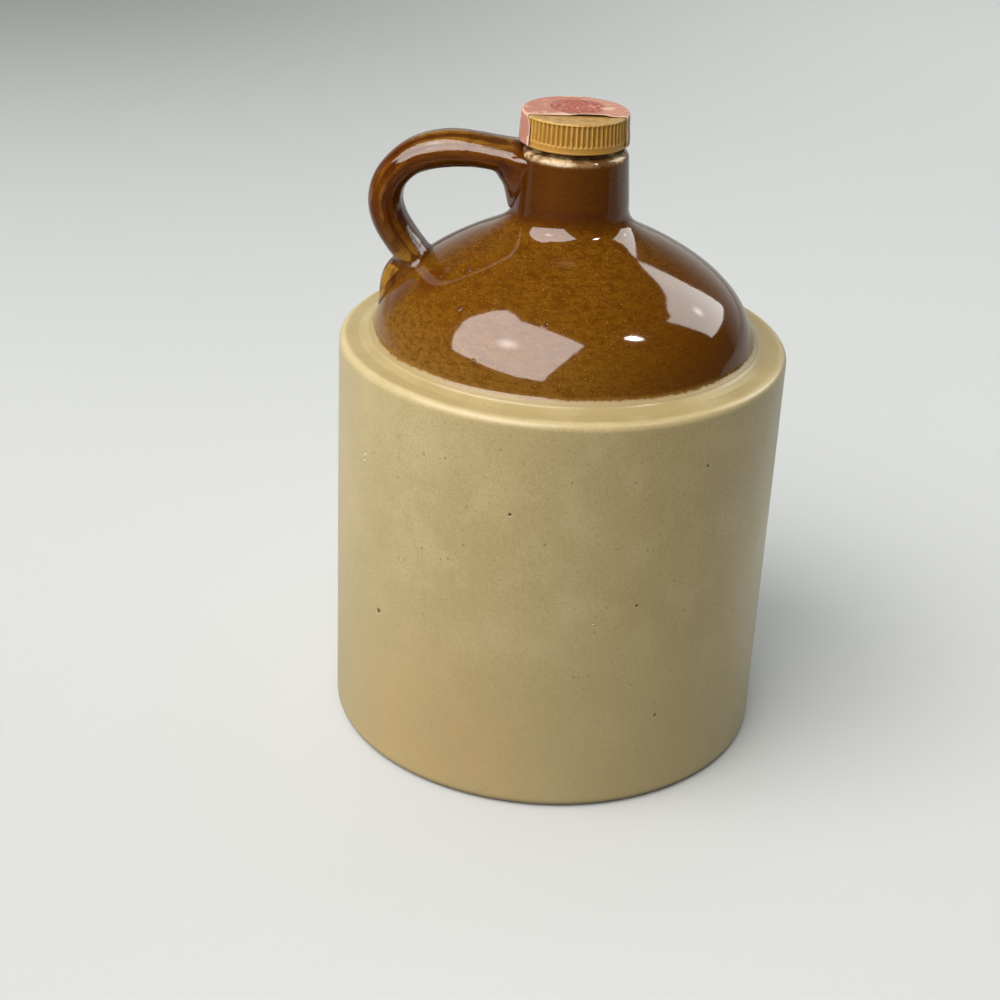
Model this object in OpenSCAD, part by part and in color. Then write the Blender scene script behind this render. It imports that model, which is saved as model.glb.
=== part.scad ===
// Stoneware crock jug with a strap handle, a ribbed screw cap and a paper seal strip.
// Millimetres. Origin on the jug's axis at the floor it stands on, +Z up, handle on -X.

/* [Crock] */
// Diameter of the straight-sided crock
crock_d = 116; // [100:1:140]
// Height of the crock's rim above the floor
rim_z = 108.1; // [90:0.1:140]
// Thickness of the crock's side wall
crock_wall = 7.5; // [5:0.1:10]
// Thickness of the crock's floor over the foot recess
floor_t = 7; // [5:0.5:10]
// Radius of the rounded bottom corner
foot_round = 2.4; // [1.5:0.1:4]
// Radius of the rounded rim
rim_round = 2.1; // [1.5:0.1:3]
// Rise of the ledge from the rim to the foot of the dome
ledge_rise = 1.3; // [0.5:0.1:3]
// Width of the bare ring that the jug stands on
foot_ring_w = 8; // [5:0.5:12]
// Depth of the recess inside the foot ring
foot_recess = 1.5; // [0.5:0.1:3]

/* [Dome and neck] */
// Diameter of the dome where it springs from the ledge
dome_foot_d = 99; // [92:0.5:101]
// Height of the dome from the ledge to the start of the neck
dome_h = 35.2; // [30:0.1:45]
// Lean of the dome's side at the ledge, in degrees from upright
dome_foot_lean = 20; // [10:1:30]
// Lean of the dome's flank where it turns into the neck's curve
dome_flank_lean = 64.3; // [55:0.1:70]
// Wall thickness of the dome
dome_wall = 6.6; // [5:0.1:8]
// Diameter of the neck at its foot
neck_d = 29.4; // [27:0.1:34]
// Diameter of the neck under its rounded top edge
neck_top_d = 27.8; // [26:0.1:29]
// Height of the neck
neck_h = 13.4; // [11:0.1:18]
// Radius of the neck's top edge
neck_round = 2; // [1:0.1:2.5]
// Diameter of the bore through the neck
bore_d = 15; // [12:0.5:16.5]

/* [Handle] */
// Distance from the jug's axis to the outermost point of the handle
handle_reach = 51.6; // [46:0.1:58]
// Height of the strap's highest point over the neck's top edge
handle_rise = 2.2; // [0:0.1:3]
// Thickness of the strap
strap_t = 8.6; // [7:0.1:10]
// Width of the strap
strap_w = 13; // [10:0.1:15]
// Squareness of the strap's section, 2 is an ellipse
strap_square = 2.4; // [2:0.1:4]
// Thickness of the pressed tail where the strap meets the dome
tail_t = 7; // [4:0.1:8]
// Width of the pressed tail
tail_w = 14.4; // [12:0.1:18]

/* [Cap] */
// Diameter of the cap's lower edge
cap_d = 27; // [26.4:0.1:27.6]
// Amount by which the cap narrows towards its top
cap_taper = 0.6; // [0:0.1:1]
// Height of the cap
cap_h = 7.7; // [7:0.1:12]
// Thickness of the cap's skirt
cap_wall = 1.2; // [1:0.05:1.3]
// Thickness of the cap's top
cap_top_t = 1.3; // [1:0.1:2]
// Radius of the cap's top edge
cap_round = 0.6; // [0.3:0.1:0.9]
// Number of grip ribs
rib_count = 65; // [40:1:72]
// Depth of the grooves between the ribs
rib_depth = 0.4; // [0.2:0.05:0.5]
// Height of the plain band under the ribs
band_h = 1.9; // [1:0.1:3]
// Gap between the cap and the top of the neck
cap_gap = 1.4; // [1:0.1:3]

/* [Liner] */
// Thickness of the pulpboard wad
liner_t = 1; // [0.8:0.1:1.4]
// Thickness of the facing that seals on the finish
facing_t = 0.2; // [0.15:0.05:0.4]
// Radial clearance round the wad inside the cap
liner_play = 0.1; // [0.05:0.05:0.3]
// Running gap over the wad and under its facing
seal_gap = 0.1; // [0.05:0.05:0.3]

/* [Thread finish] */
// Radial room between the finish and the cap's skirt for the threads
thread_room = 1.6; // [1.2:0.1:1.8]
// Radius of the finish's lip
lip_round = 0.7; // [0.3:0.1:1]

/* [Seal strip] */
// Width of the paper strip
strip_w = 19.6; // [14:0.1:22]
// Thickness of the strip with its paste
strip_t = 0.25; // [0.2:0.05:0.5]
// Distance from the cap's axis to the strip's front edge
strip_front = 6.6; // [4:0.1:9]
// Turn of the strip about the cap's axis, in degrees
strip_skew = 13.3; // [-20:0.1:20]
// Gap between the folded ends and the rib crests
strip_gap = 0.05; // [0.03:0.01:0.2]
// Height of the strip's cut ends over the cap's lower edge
strip_up = 0.3; // [0:0.1:1]

/* [Hidden] */
$fn = 96;

// One overrun for every cut
over = 5;

// Heights that several pieces share
crock_r = crock_d / 2;
seat_z = rim_z + ledge_rise;
dome_top_z = seat_z + dome_h;
neck_top_z = dome_top_z + neck_h;
cap_z = neck_top_z + cap_gap;
cap_top_z = cap_z + cap_h;
ceiling_z = cap_top_z - cap_top_t;
liner_top_z = ceiling_z - seal_gap;
facing_top_z = liner_top_z - liner_t;
finish_top_z = facing_top_z - facing_t - seal_gap;

// Radii that several pieces share
dome_foot_r = dome_foot_d / 2;
dome_mouth_r = dome_foot_r - dome_wall;
neck_r = neck_d / 2;
neck_top_r = neck_top_d / 2;
bore_r = bore_d / 2;
cap_r = cap_d / 2;
cap_bore_r = cap_r - cap_wall;
finish_r = cap_bore_r - thread_room;

// Steps along curves
round_steps = 4;
flank_steps = 12;
throat_steps = 8;

// Places of the dome's curve: its turning point across and up, and how far each pull reaches
turn_shares = [0.247, 0.723];
foot_pull_share = 0.176;
flank_pull_share = 0.75;
throat_pull_share = 0.262;
neck_pull_share = 0.102;

function bezier(a, b, c, d, t) =
    pow(1 - t, 3) * a + 3 * pow(1 - t, 2) * t * b + 3 * (1 - t) * t * t * c + pow(t, 3) * d;
function bezier_run(a, b, c, d, steps) =
    [for (i = [0:steps]) bezier(a, b, c, d, i / steps)];
function arc(centre, r, from, to) =
    [for (i = [0:round_steps])
        let (a = from + (to - from) * i / round_steps)
        centre + r * [cos(a), sin(a)]];
function leaning(angle) = [-sin(angle), cos(angle)];
function without_last(list) = [for (i = [0:len(list) - 2]) list[i]];

// Outer line of the dome from the ledge to the foot of the neck, as [radius, height]
dome_start = [dome_foot_r, seat_z];
dome_turn = [neck_r + turn_shares[0] * (dome_foot_r - neck_r), seat_z + turn_shares[1] * dome_h];
dome_end = [neck_r, dome_top_z];
flank = bezier_run(dome_start,
                   dome_start + foot_pull_share * dome_h * leaning(dome_foot_lean),
                   dome_turn - flank_pull_share * dome_h * leaning(dome_flank_lean),
                   dome_turn, flank_steps);
throat = bezier_run(dome_turn,
                    dome_turn + throat_pull_share * dome_h * leaning(dome_flank_lean),
                    dome_end - [0, neck_pull_share * dome_h],
                    dome_end, throat_steps);
dome_line = concat(without_last(flank), throat);

// Inner line: the outer one moved in by the wall, and no narrower than the bore
function inward(line, i, depth) =
    let (d = line[min(i + 1, len(line) - 1)] - line[max(i - 1, 0)], n = d / norm(d))
    line[i] - depth * [n[1], -n[0]];
moved_line = [for (i = [0:len(dome_line) - 1]) inward(dome_line, i, dome_wall)];
inner_line = [for (p = moved_line) if (p[1] > seat_z + dome_wall / 2 && p[0] > bore_r) p];
bore_foot_z = inner_line[len(inner_line) - 1][1]
    + (inner_line[len(inner_line) - 1][0] - bore_r);

// Dome profile as a solid of revolution, without and with its hollow
neck_edge = arc([neck_top_r - neck_round, neck_top_z - neck_round], neck_round, 0, 90);
lip = arc([finish_r - lip_round, finish_top_z - lip_round], lip_round, 0, 90);
outer_line = concat(dome_line, neck_edge, [[finish_r, neck_top_z]], lip);

module dome_mass() {
    rotate_extrude() polygon(concat([[0, seat_z]], outer_line, [[0, finish_top_z]]));
}

module dome_hollow() {
    rotate_extrude() polygon(concat(
        [[0, seat_z - over], [dome_mouth_r, seat_z - over], [dome_mouth_r, seat_z]],
        inner_line,
        [[bore_r, bore_foot_z], [0, bore_foot_z]]));
}

module domed_top() {
    color("saddlebrown") difference() {
        dome_mass();
        dome_hollow();
        translate([0, 0, bore_foot_z - over])
            cylinder(r = bore_r, h = finish_top_z - bore_foot_z + 2 * over);
    }
}

// Crock: side wall, floor, foot ring and the ledge that carries the dome
inner_r = crock_r - crock_wall;
floor_z = foot_recess + floor_t;
under_ledge_z = rim_z - crock_wall;
floor_round = crock_wall * 0.8;
shelf_round = crock_wall * 0.5;

module crock_body() {
    color("tan") rotate_extrude() polygon(concat(
        [[0, foot_recess], [crock_r - foot_ring_w - foot_recess, foot_recess],
         [crock_r - foot_ring_w, 0]],
        arc([crock_r - foot_round, foot_round], foot_round, -90, 0),
        arc([crock_r - rim_round, rim_z - rim_round], rim_round, 0, 90),
        [[dome_foot_r, seat_z], [dome_mouth_r, seat_z]],
        arc([dome_mouth_r + shelf_round, under_ledge_z + shelf_round], shelf_round, 180, 270),
        arc([inner_r - shelf_round, under_ledge_z - shelf_round], shelf_round, 90, 0),
        arc([inner_r - floor_round, floor_z + floor_round], floor_round, 0, -90),
        [[0, floor_z]]));
}

// Handle: a strap swept along [out, up, half thickness, half width] stations on the -X side
section_sides = 20;
stations_per_leg = 2;
// Where the strap's centre line runs, as shares of the way out from the neck and up from the
// strap's foot on the dome, with the section's thickness and width as shares of the strap's
strap_shares = [
    [-0.18, 0.922, 0.78, 1.30],
    [-0.09, 0.944, 0.88, 1.24],
    [0.02, 0.962, 0.95, 1.15],
    [0.14, 0.975, 0.98, 1.06],
    [0.28, 0.989, 1.02, 1.00],
    [0.44, 0.984, 1.09, 0.98],
    [0.60, 0.941, 1.07, 0.98],
    [0.73, 0.859, 1.00, 1.00],
    [0.84, 0.708, 1.00, 1.02],
    [0.88, 0.531, 1.02, 1.03],
    [0.85, 0.361, 1.03, 1.05],
    [0.775, 0.207, 1.01, 1.07]];
// The strap's last stations, as shares of its thickness outwards from its foot on the dome
foot_shares = [[0.10, 0.23, 0.98, 1.12], [-0.26, -0.26, 1.06, 1.14]];
// The root's stations, from under the neck's top edge down to the dome: shares of the strap's
// thickness out from the neck and of the neck's height, with thickness and width shares
root_shares = [
    [-0.06, 0.86, 0.80, 1.28],
    [-0.02, 0.62, 1.24, 1.14],
    [0.00, 0.42, 1.28, 1.05],
    [0.00, 0.26, 0.96, 0.95],
    [0.00, 0.11, 0.70, 0.82],
    [0.03, -0.04, 0.44, 0.66],
    [0.12, -0.17, 0.16, 0.45]];
// The tail's stations: place along the dome's flank, thickness and width shares
tail_shares = [
    [0.74, 0.70, 0.92],
    [0.66, 1.12, 0.97],
    [0.58, 1.18, 0.96],
    [0.50, 1.02, 0.92],
    [0.43, 0.76, 0.86],
    [0.36, 0.42, 0.77],
    [0.29, 0.14, 0.64],
    [0.22, 0.05, 0.46]];
// Place of the strap's foot along the dome's flank
strap_foot_share = 0.7;

function flank_at(share) =
    bezier(dome_start, dome_start + foot_pull_share * dome_h * leaning(dome_foot_lean),
           dome_turn - flank_pull_share * dome_h * leaning(dome_flank_lean), dome_turn, share);
strap_foot = flank_at(strap_foot_share);
loop_out = handle_reach - neck_r;
loop_up = neck_top_z + handle_rise - strap_t / 2 - strap_foot[1];

strap_path = concat(
    [for (s = strap_shares)
        [neck_r + s[0] * loop_out, strap_foot[1] + s[1] * loop_up,
         s[2] * strap_t / 2, s[3] * strap_w / 2]],
    [for (s = foot_shares)
        [strap_foot[0] + s[0] * strap_t, strap_foot[1] + s[1] * strap_t,
         s[2] * strap_t / 2, s[3] * strap_w / 2]]);
root_path = [for (s = root_shares)
    [neck_r + s[0] * strap_t, dome_top_z + s[1] * neck_h,
     s[2] * strap_t / 2, s[3] * strap_w / 2]];
tail_path = [for (s = tail_shares)
    let (p = flank_at(s[0])) [p[0], p[1], s[1] * tail_t / 2, s[2] * tail_w / 2]];

// A smooth curve through the stations
function through(a, b, c, d, t) =
    0.5 * ((2 * b) + (c - a) * t + (2 * a - 5 * b + 4 * c - d) * t * t
           + (3 * b - a - 3 * c + d) * pow(t, 3));
function smooth_path(p) =
    let (last = len(p) - 1)
    concat([for (i = [0:last - 1], j = [0:stations_per_leg - 1])
        through(p[max(i - 1, 0)], p[i], p[i + 1], p[min(i + 2, last)], j / stations_per_leg)],
        [p[last]]);
function power(v, e) = sign(v) * pow(abs(v), e);
function station_ring(p, i) =
    let (a = p[max(i - 1, 0)], b = p[min(i + 1, len(p) - 1)],
         run = [b[0] - a[0], b[1] - a[1]], n = [-run[1], run[0]] / norm(run))
    [for (k = [0:section_sides - 1])
        let (t = 360 * k / section_sides,
             thick = p[i][2] * power(cos(t), 2 / strap_square),
             wide = p[i][3] * power(sin(t), 2 / strap_square))
        [-(p[i][0] + n[0] * thick), wide, p[i][1] + n[1] * thick]];

module swept(path) {
    p = smooth_path(path);
    rings = [for (i = [0:len(p) - 1]) each station_ring(p, i)];
    m = section_sides;
    last = (len(p) - 1) * m;
    polyhedron(rings, concat(
        [for (i = [0:len(p) - 2], k = [0:m - 1])
            each [[i * m + k, (i + 1) * m + k, (i + 1) * m + (k + 1) % m],
                  [i * m + k, (i + 1) * m + (k + 1) % m, i * m + (k + 1) % m]]],
        [[for (k = [0:m - 1]) k]],
        [[for (k = [m - 1:-1:0]) last + k]]));
}

cap_clearance = 0.8;

module handle() {
    color("sienna") difference() {
        union() {
            swept(strap_path);
            swept(root_path);
            swept(tail_path);
        }
        dome_mass();
        translate([0, 0, neck_top_z]) cylinder(r = cap_r + cap_clearance, h = cap_h);
    }
}

// Cap: revolved skirt and top with straight grip ribs above a plain band
rib_points = 4;
rib_top_z = cap_top_z - cap_round;
function cap_outline(side, top) = concat(
    [[0, cap_z], [cap_r + side, cap_z]],
    arc([cap_r - cap_taper / 2 - cap_round, cap_top_z - cap_round] + [side, top], cap_round, 0, 90),
    [[0, cap_top_z + top]]);

module cap_mass(side = 0, top = 0) {
    rotate_extrude() polygon(cap_outline(side, top));
}

module rib_ring() {
    polygon([for (k = [0:rib_count * rib_points - 1])
        let (a = 360 * k / (rib_count * rib_points),
             r = cap_r - rib_depth * (1 - cos(a * rib_count)) / 2)
        r * [cos(a), sin(a)]]);
}

module screw_cap() {
    color("burlywood") difference() {
        intersection() {
            cap_mass();
            union() {
                translate([0, 0, cap_z + band_h])
                    linear_extrude(cap_h) rib_ring();
                cylinder(r = cap_r + over, h = cap_z + band_h);
            }
        }
        translate([0, 0, cap_z - over]) cylinder(r = cap_bore_r, h = ceiling_z - cap_z + over);
    }
}

module cap_liner() {
    color("lightgray") translate([0, 0, facing_top_z])
        cylinder(r = cap_bore_r - liner_play, h = liner_t);
}

module liner_facing() {
    color("white") translate([0, 0, facing_top_z - facing_t])
        cylinder(r = cap_bore_r - liner_play, h = facing_t);
}

// Paper strip: over the cap's top and folded down on both sides
module seal_strip() {
    color("indianred") intersection() {
        difference() {
            cap_mass(strip_gap + strip_t, strip_t);
            cap_mass(strip_gap, 0);
        }
        rotate([0, 0, strip_skew])
            translate([-cap_r - over, -strip_front, cap_z + strip_up])
                cube([2 * (cap_r + over), strip_w, cap_h + over]);
    }
}

crock_body();
domed_top();
handle();
screw_cap();
cap_liner();
liner_facing();
seal_strip();
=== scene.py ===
"""Finishes the stoneware crock jug: thrown clay, glazes, ribbed cap, paper strip and light."""
import math

import bmesh
import bpy
from bpy.props import FloatProperty, FloatVectorProperty, IntProperty, PointerProperty
from bpy.types import Operator, Panel, PropertyGroup
from mathutils import Matrix, Vector, kdtree, noise


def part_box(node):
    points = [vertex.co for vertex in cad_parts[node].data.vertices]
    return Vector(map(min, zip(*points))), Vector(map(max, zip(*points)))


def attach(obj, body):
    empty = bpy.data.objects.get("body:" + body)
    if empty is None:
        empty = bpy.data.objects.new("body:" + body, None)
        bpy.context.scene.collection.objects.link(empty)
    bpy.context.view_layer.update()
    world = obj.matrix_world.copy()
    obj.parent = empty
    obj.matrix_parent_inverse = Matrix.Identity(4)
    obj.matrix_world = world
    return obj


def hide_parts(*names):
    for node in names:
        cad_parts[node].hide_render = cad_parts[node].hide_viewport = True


bl_info = {
    "name": "Stoneware crock jug",
    "version": (1, 0, 0),
    "blender": (4, 5, 0),
    "location": "3D View > Sidebar > Crock jug",
    "description": "Builds the jug's clay, glazes, screw cap and paper strip on its frame",
    "category": "Add Mesh",
}

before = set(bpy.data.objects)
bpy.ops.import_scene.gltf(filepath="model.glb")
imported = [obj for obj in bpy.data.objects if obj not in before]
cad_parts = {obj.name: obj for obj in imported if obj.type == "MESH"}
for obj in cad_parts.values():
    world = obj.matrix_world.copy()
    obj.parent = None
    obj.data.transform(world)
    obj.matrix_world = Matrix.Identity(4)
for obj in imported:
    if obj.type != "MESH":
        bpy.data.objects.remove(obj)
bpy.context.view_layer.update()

MM = 0.001
TURN = 2 * math.pi
UP = Vector((0, 0, 1))
MERGE = 0.001 * MM

# Corners of the frame's boxes that the sizes below start from
CROCK_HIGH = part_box("crock_body")[1]
DOME_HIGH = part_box("domed_top")[1]
HANDLE_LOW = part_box("handle")[0]
CAP_LOW, CAP_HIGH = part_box("screw_cap")
WAD_LOW, WAD_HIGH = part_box("cap_liner")
FACING_LOW, FACING_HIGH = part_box("liner_facing")
STRIP_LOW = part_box("seal_strip")[0]
SEAT_Z = CROCK_HIGH.z
LIP_Z = DOME_HIGH.z

# How far the dome's foot flares over the ledge, and up to what height
FOOT_FLARE = 0.9 * MM
FLARE_HEIGHT = 1.5 * MM
# Where the thread on the finish starts, under the lip
THREAD_DROP = 4.6 * MM
# Scale and start of the noise that bends a thrown wall, and of the one that lifts its rim
WALL_WAVES, WALL_START = Vector((22, 22, 13.2)), Vector((0, 0, 3.1))
RIM_WAVES, RIM_START = 1.9, Vector((0, 0, 5.3))


def length(name, about, default):
    """A length in metres."""
    return FloatProperty(name=name, description=about, default=default, unit="LENGTH",
                         precision=5)


def angle(name, about, degrees):
    """An angle, given in degrees."""
    return FloatProperty(name=name, description=about, default=math.radians(degrees),
                         subtype="ANGLE")


def number(name, about, default):
    """A plain number."""
    return FloatProperty(name=name, description=about, default=default)


def colour(name, about, default):
    """A colour in Blender's own linear values."""
    return FloatVectorProperty(name=name, description=about, default=default, size=3,
                               subtype="COLOR", min=0, max=1)


class JugCrockSettings(PropertyGroup):
    """Sizes and glaze of the straight-sided crock."""
    radius: length("Radius", "Radius of the crock's wall", CROCK_HIGH.x)
    rim_height: length("Rim height", "Height of the rim over the floor", SEAT_Z - 1.3 * MM)
    wall: length("Wall", "Thickness of the side wall", 7.5 * MM)
    floor: length("Floor", "Thickness of the floor", 7 * MM)
    foot_ring: length("Foot ring", "Width of the bare ring that the jug stands on", 8 * MM)
    foot_recess: length("Foot recess", "Depth of the recess in the foot", 1.5 * MM)
    foot_round: length("Foot round", "Radius of the bottom corner", 2.4 * MM)
    rim_round: length("Rim round", "Radius of the rolled rim", 2.1 * MM)
    waviness: length("Waviness", "How far the hand-thrown wall strays", 0.16 * MM)
    rim_waviness: length("Rim waviness", "How far the rim rises and falls", 0.30 * MM)
    glaze: colour("Glaze", "Tan glaze", (0.487, 0.398, 0.194))
    glaze_pale: colour("Pale glaze", "Tan glaze where it lies thin", (0.555, 0.462, 0.242))
    glaze_deep: colour("Deep glaze", "Tan glaze where it lies thick", (0.43, 0.346, 0.162))
    bare_clay: colour("Bare clay", "Unglazed clay of the foot", (0.40, 0.31, 0.21))
    speck: colour("Speck", "Iron specks", (0.09, 0.065, 0.035))


class JugDomeSettings(PropertyGroup):
    """Sizes and glaze of the domed top, its neck and the finish under the cap."""
    foot_radius: length("Foot radius", "Radius where the dome springs", DOME_HIGH.x)
    height: length("Height", "Height of the dome from the ledge to the neck", 35.2 * MM)
    foot_lean: angle("Foot lean", "Lean of the dome at the ledge", 20)
    flank_lean: angle("Flank lean", "Lean where the curve turns", 64.3)
    wall: length("Wall", "Thickness of the dome", 6.6 * MM)
    neck_radius: length("Neck radius", "Radius of the neck at its foot", 14.7 * MM)
    neck_top_radius: length("Neck top radius", "Radius under the top edge", 13.9 * MM)
    neck_height: length("Neck height", "Height of the neck", 13.4 * MM)
    neck_round: length("Neck round", "Radius of the neck's top edge", 2 * MM)
    bore_radius: length("Bore radius", "Radius of the bore", 7.5 * MM)
    finish_radius: length("Finish radius", "Radius of the finish", 10.7 * MM)
    lip_round: length("Lip round", "Radius of the lip's edge", 0.7 * MM)
    thread_pitch: length("Thread pitch", "Rise of the thread for each turn", 3.2 * MM)
    thread_depth: length("Thread depth", "Height of the thread's ridge", 1.1 * MM)
    thread_turns: number("Thread turns", "Turns of thread", 1.25)
    glaze: colour("Glaze", "Amber-brown glaze", (0.150, 0.058, 0.0035))
    glaze_deep: colour("Deep glaze", "Brown glaze where it pools", (0.070, 0.020, 0.0015))
    # Worn glaze on the neck's top edge, which also paints a highlight on its right
    glaze_worn_and_highlight: colour("Worn glaze", "Pale glaze along the neck's top edge",
                       (0.62, 0.45, 0.23))


class JugHandleSettings(PropertyGroup):
    """Sizes of the strap handle."""
    thickness: length("Thickness", "Thickness of the strap", 8.6 * MM)
    width: length("Width", "Width of the strap", 13 * MM)
    rise: length("Rise", "Height of the strap's top over the neck's top edge", 2.2 * MM)
    squareness: number("Squareness", "Shape of the strap's section: 2 is an ellipse", 2.2)
    tail_thickness: length("Tail thickness", "Thickness of the pressed tail", 7 * MM)
    tail_width: length("Tail width", "Width of the pressed tail", 14.4 * MM)
    tail_squareness: number("Tail squareness", "Shape of the tail's section", 2.6)
    groove: length("Groove", "Depth of the finger-drawn grooves", 0.32 * MM)
    voxel: length("Voxel", "Fineness with which the clay is joined", 0.45 * MM)


class JugCapSettings(PropertyGroup):
    """Sizes and colour of the ribbed screw cap, its wad and its facing."""
    radius: length("Radius", "Radius of the cap's lower edge", CAP_HIGH.x)
    taper: length("Taper", "How much narrower the top edge is", 0.3 * MM)
    wall: length("Wall", "Thickness of the skirt", 1.2 * MM)
    top: length("Top", "Thickness of the cap's top", 1.3 * MM)
    dish: length("Dish", "Depth of the shallow dish in the cap's top", 0.12 * MM)
    edge_round: length("Edge round", "Radius of the top edge", 0.6 * MM)
    ribs: IntProperty(name="Ribs", description="Number of grip ribs", default=65)
    rib_depth: length("Rib depth", "Depth of the grooves between ribs", 0.46 * MM)
    band: length("Band", "Height of the plain band under the ribs", 1.75 * MM)
    band_depth: length("Band depth", "How far the plain band is set back", 0.16 * MM)
    thread_depth: length("Thread depth", "Height of the inner thread's ridge", 0.85 * MM)
    thread_turns: number("Thread turns", "Turns of inner thread", 1.15)
    plastic: colour("Plastic", "Ochre plastic", (0.54, 0.29, 0.038))
    # Worn plastic, also used for painted highlights on the ribs
    plastic_worn_and_highlight: colour("Worn plastic", "Plastic where it is rubbed pale",
                         (0.72, 0.48, 0.13))
    wad: colour("Wad", "Grey pulpboard", (0.42, 0.37, 0.29))


class JugStripSettings(PropertyGroup):
    """Sizes and print of the paper seal strip."""
    width: length("Width", "Width of the strip", 18.6 * MM)
    front: length("Front edge", "Distance from the axis to the front edge", 5.6 * MM)
    skew: angle("Skew", "Turn about the cap's axis", 8.5)
    thickness: length("Thickness", "Thickness of the paper", 0.1 * MM)
    ruck: length("Ruck", "Height of the paper's rucks", 0.10 * MM)
    loose: length("Loose edge", "How far the front edge's middle stands up", 0.42 * MM)
    paper: colour("Paper", "Bare paper of the border", (0.66, 0.475, 0.34))
    ink: colour("Ink", "Pinkish red print", (0.36, 0.095, 0.062))
    ink_deep: colour("Deep ink", "Darker red of the rosette", (0.24, 0.036, 0.026))


class JugStageSettings(PropertyGroup):
    """Floor, backdrop tone and lamps."""
    near_left: colour("Near left", "Pale floor, left", (0.475, 0.505, 0.505))
    near_right: colour("Near right", "Pale floor, right", (0.545, 0.575, 0.575))
    far_left: colour("Far left", "Backdrop behind the jug, left", (0.33, 0.36, 0.34))
    far_right: colour("Far right", "Backdrop behind the jug, right", (0.86, 0.92, 0.90))
    box_light: number("Box light", "Radiance of the large softbox", 5.4)
    side_light: number("Side light", "Radiance of the side softbox", 3.9)
    spot_light: number("Spot light", "Radiance of the small lamp", 42.0)
    sky: number("Sky", "Strength of the surrounding light", 2.7)


SETTINGS = {
    "jug_crock": JugCrockSettings,
    "jug_dome": JugDomeSettings,
    "jug_handle": JugHandleSettings,
    "jug_cap": JugCapSettings,
    "jug_strip": JugStripSettings,
    "jug_stage": JugStageSettings,
}


# Outlines and curves

class Outline(list):
    """A profile to spin: (radius, height) points, added one stretch at a time."""

    def run_to(self, place, steps=1):
        """Goes straight on from the last point."""
        start, end = Vector(self[-1]), Vector(place)
        self.extend(tuple(start.lerp(end, i / steps)) for i in range(1, steps + 1))

    def turn(self, centre, radius, start, end, steps=8):
        """Goes round a corner, from one angle to another in degrees."""
        angles = [math.radians(start + (end - start) * i / steps) for i in range(steps + 1)]
        places = [(centre[0] + radius * math.cos(a), centre[1] + radius * math.sin(a))
                  for a in angles]
        if math.dist(self[-1], places[0]) < MERGE:
            self.pop()
        self.extend(places)


def bezier(a, b, c, d, t):
    """A place on a cubic curve."""
    u = 1 - t
    return u ** 3 * a + 3 * u * u * t * b + 3 * u * t * t * c + t ** 3 * d


def leaning(lean):
    """Upward direction in an outline's plane that leans inwards by an angle."""
    return Vector((-math.sin(lean), math.cos(lean)))


def smoothstep(low, high, value):
    """Rises smoothly from 0 at low to 1 at high."""
    t = min(max((value - low) / (high - low), 0), 1)
    return t * t * (3 - 2 * t)


def between(low, full, still, high, value):
    """Rises from 0 at low to 1 at full, and falls from 1 at still to 0 at high."""
    return smoothstep(low, full, value) * smoothstep(high, still, value)


def tent(middle, reach, value):
    """1 at the middle, falling evenly to 0 at its reach on both sides."""
    return 1 - min(abs(value - middle) / reach, 1)


def from_axis(place):
    """How far a place lies from the jug's axis."""
    return math.hypot(place.x, place.y)


def outwards(place):
    """Level direction from the jug's axis to a place."""
    return Vector((place.x, place.y, 0)).normalized()


# Meshes and pieces

def spun(outline, steps):
    """A closed skin made by spinning an outline round the jug's axis."""
    bm = bmesh.new()
    verts = [bm.verts.new((r, 0, z)) for r, z in outline]
    edges = [bm.edges.new(pair) for pair in zip(verts, verts[1:])]
    bmesh.ops.spin(bm, geom=verts + edges, cent=(0, 0, 0), axis=UP, angle=TURN / 4,
                   steps=steps // 4)
    quarter = bm.verts[:] + bm.edges[:] + bm.faces[:]
    for i in range(1, 4):
        copy = bmesh.ops.duplicate(bm, geom=quarter)["geom"]
        bmesh.ops.rotate(bm, verts=[v for v in copy if isinstance(v, bmesh.types.BMVert)],
                         cent=(0, 0, 0), matrix=Matrix.Rotation(i * TURN / 4, 3, "Z"))
    bmesh.ops.remove_doubles(bm, verts=bm.verts, dist=MERGE)
    bmesh.ops.recalc_face_normals(bm, faces=bm.faces)
    return bm


def strayed(bm, strength):
    """Moves each point sideways a little, as a hand-thrown wall strays."""
    for v in bm.verts:
        if from_axis(v.co) > 1 * MM:
            v.co += outwards(v.co) * strength * noise.noise(v.co * WALL_WAVES + WALL_START)


def soften(bm, times, verts=None):
    """Smooths points, all of them if none are named."""
    for i in range(times):
        bmesh.ops.smooth_vert(bm, verts=verts or bm.verts, factor=0.5, use_axis_x=True,
                              use_axis_y=True, use_axis_z=True)


def mark(bm, name, value_at):
    """Stores a value at every point of a mesh under construction."""
    layer = bm.verts.layers.float.new(name)
    for v in bm.verts:
        v[layer] = value_at(v.co)


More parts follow.
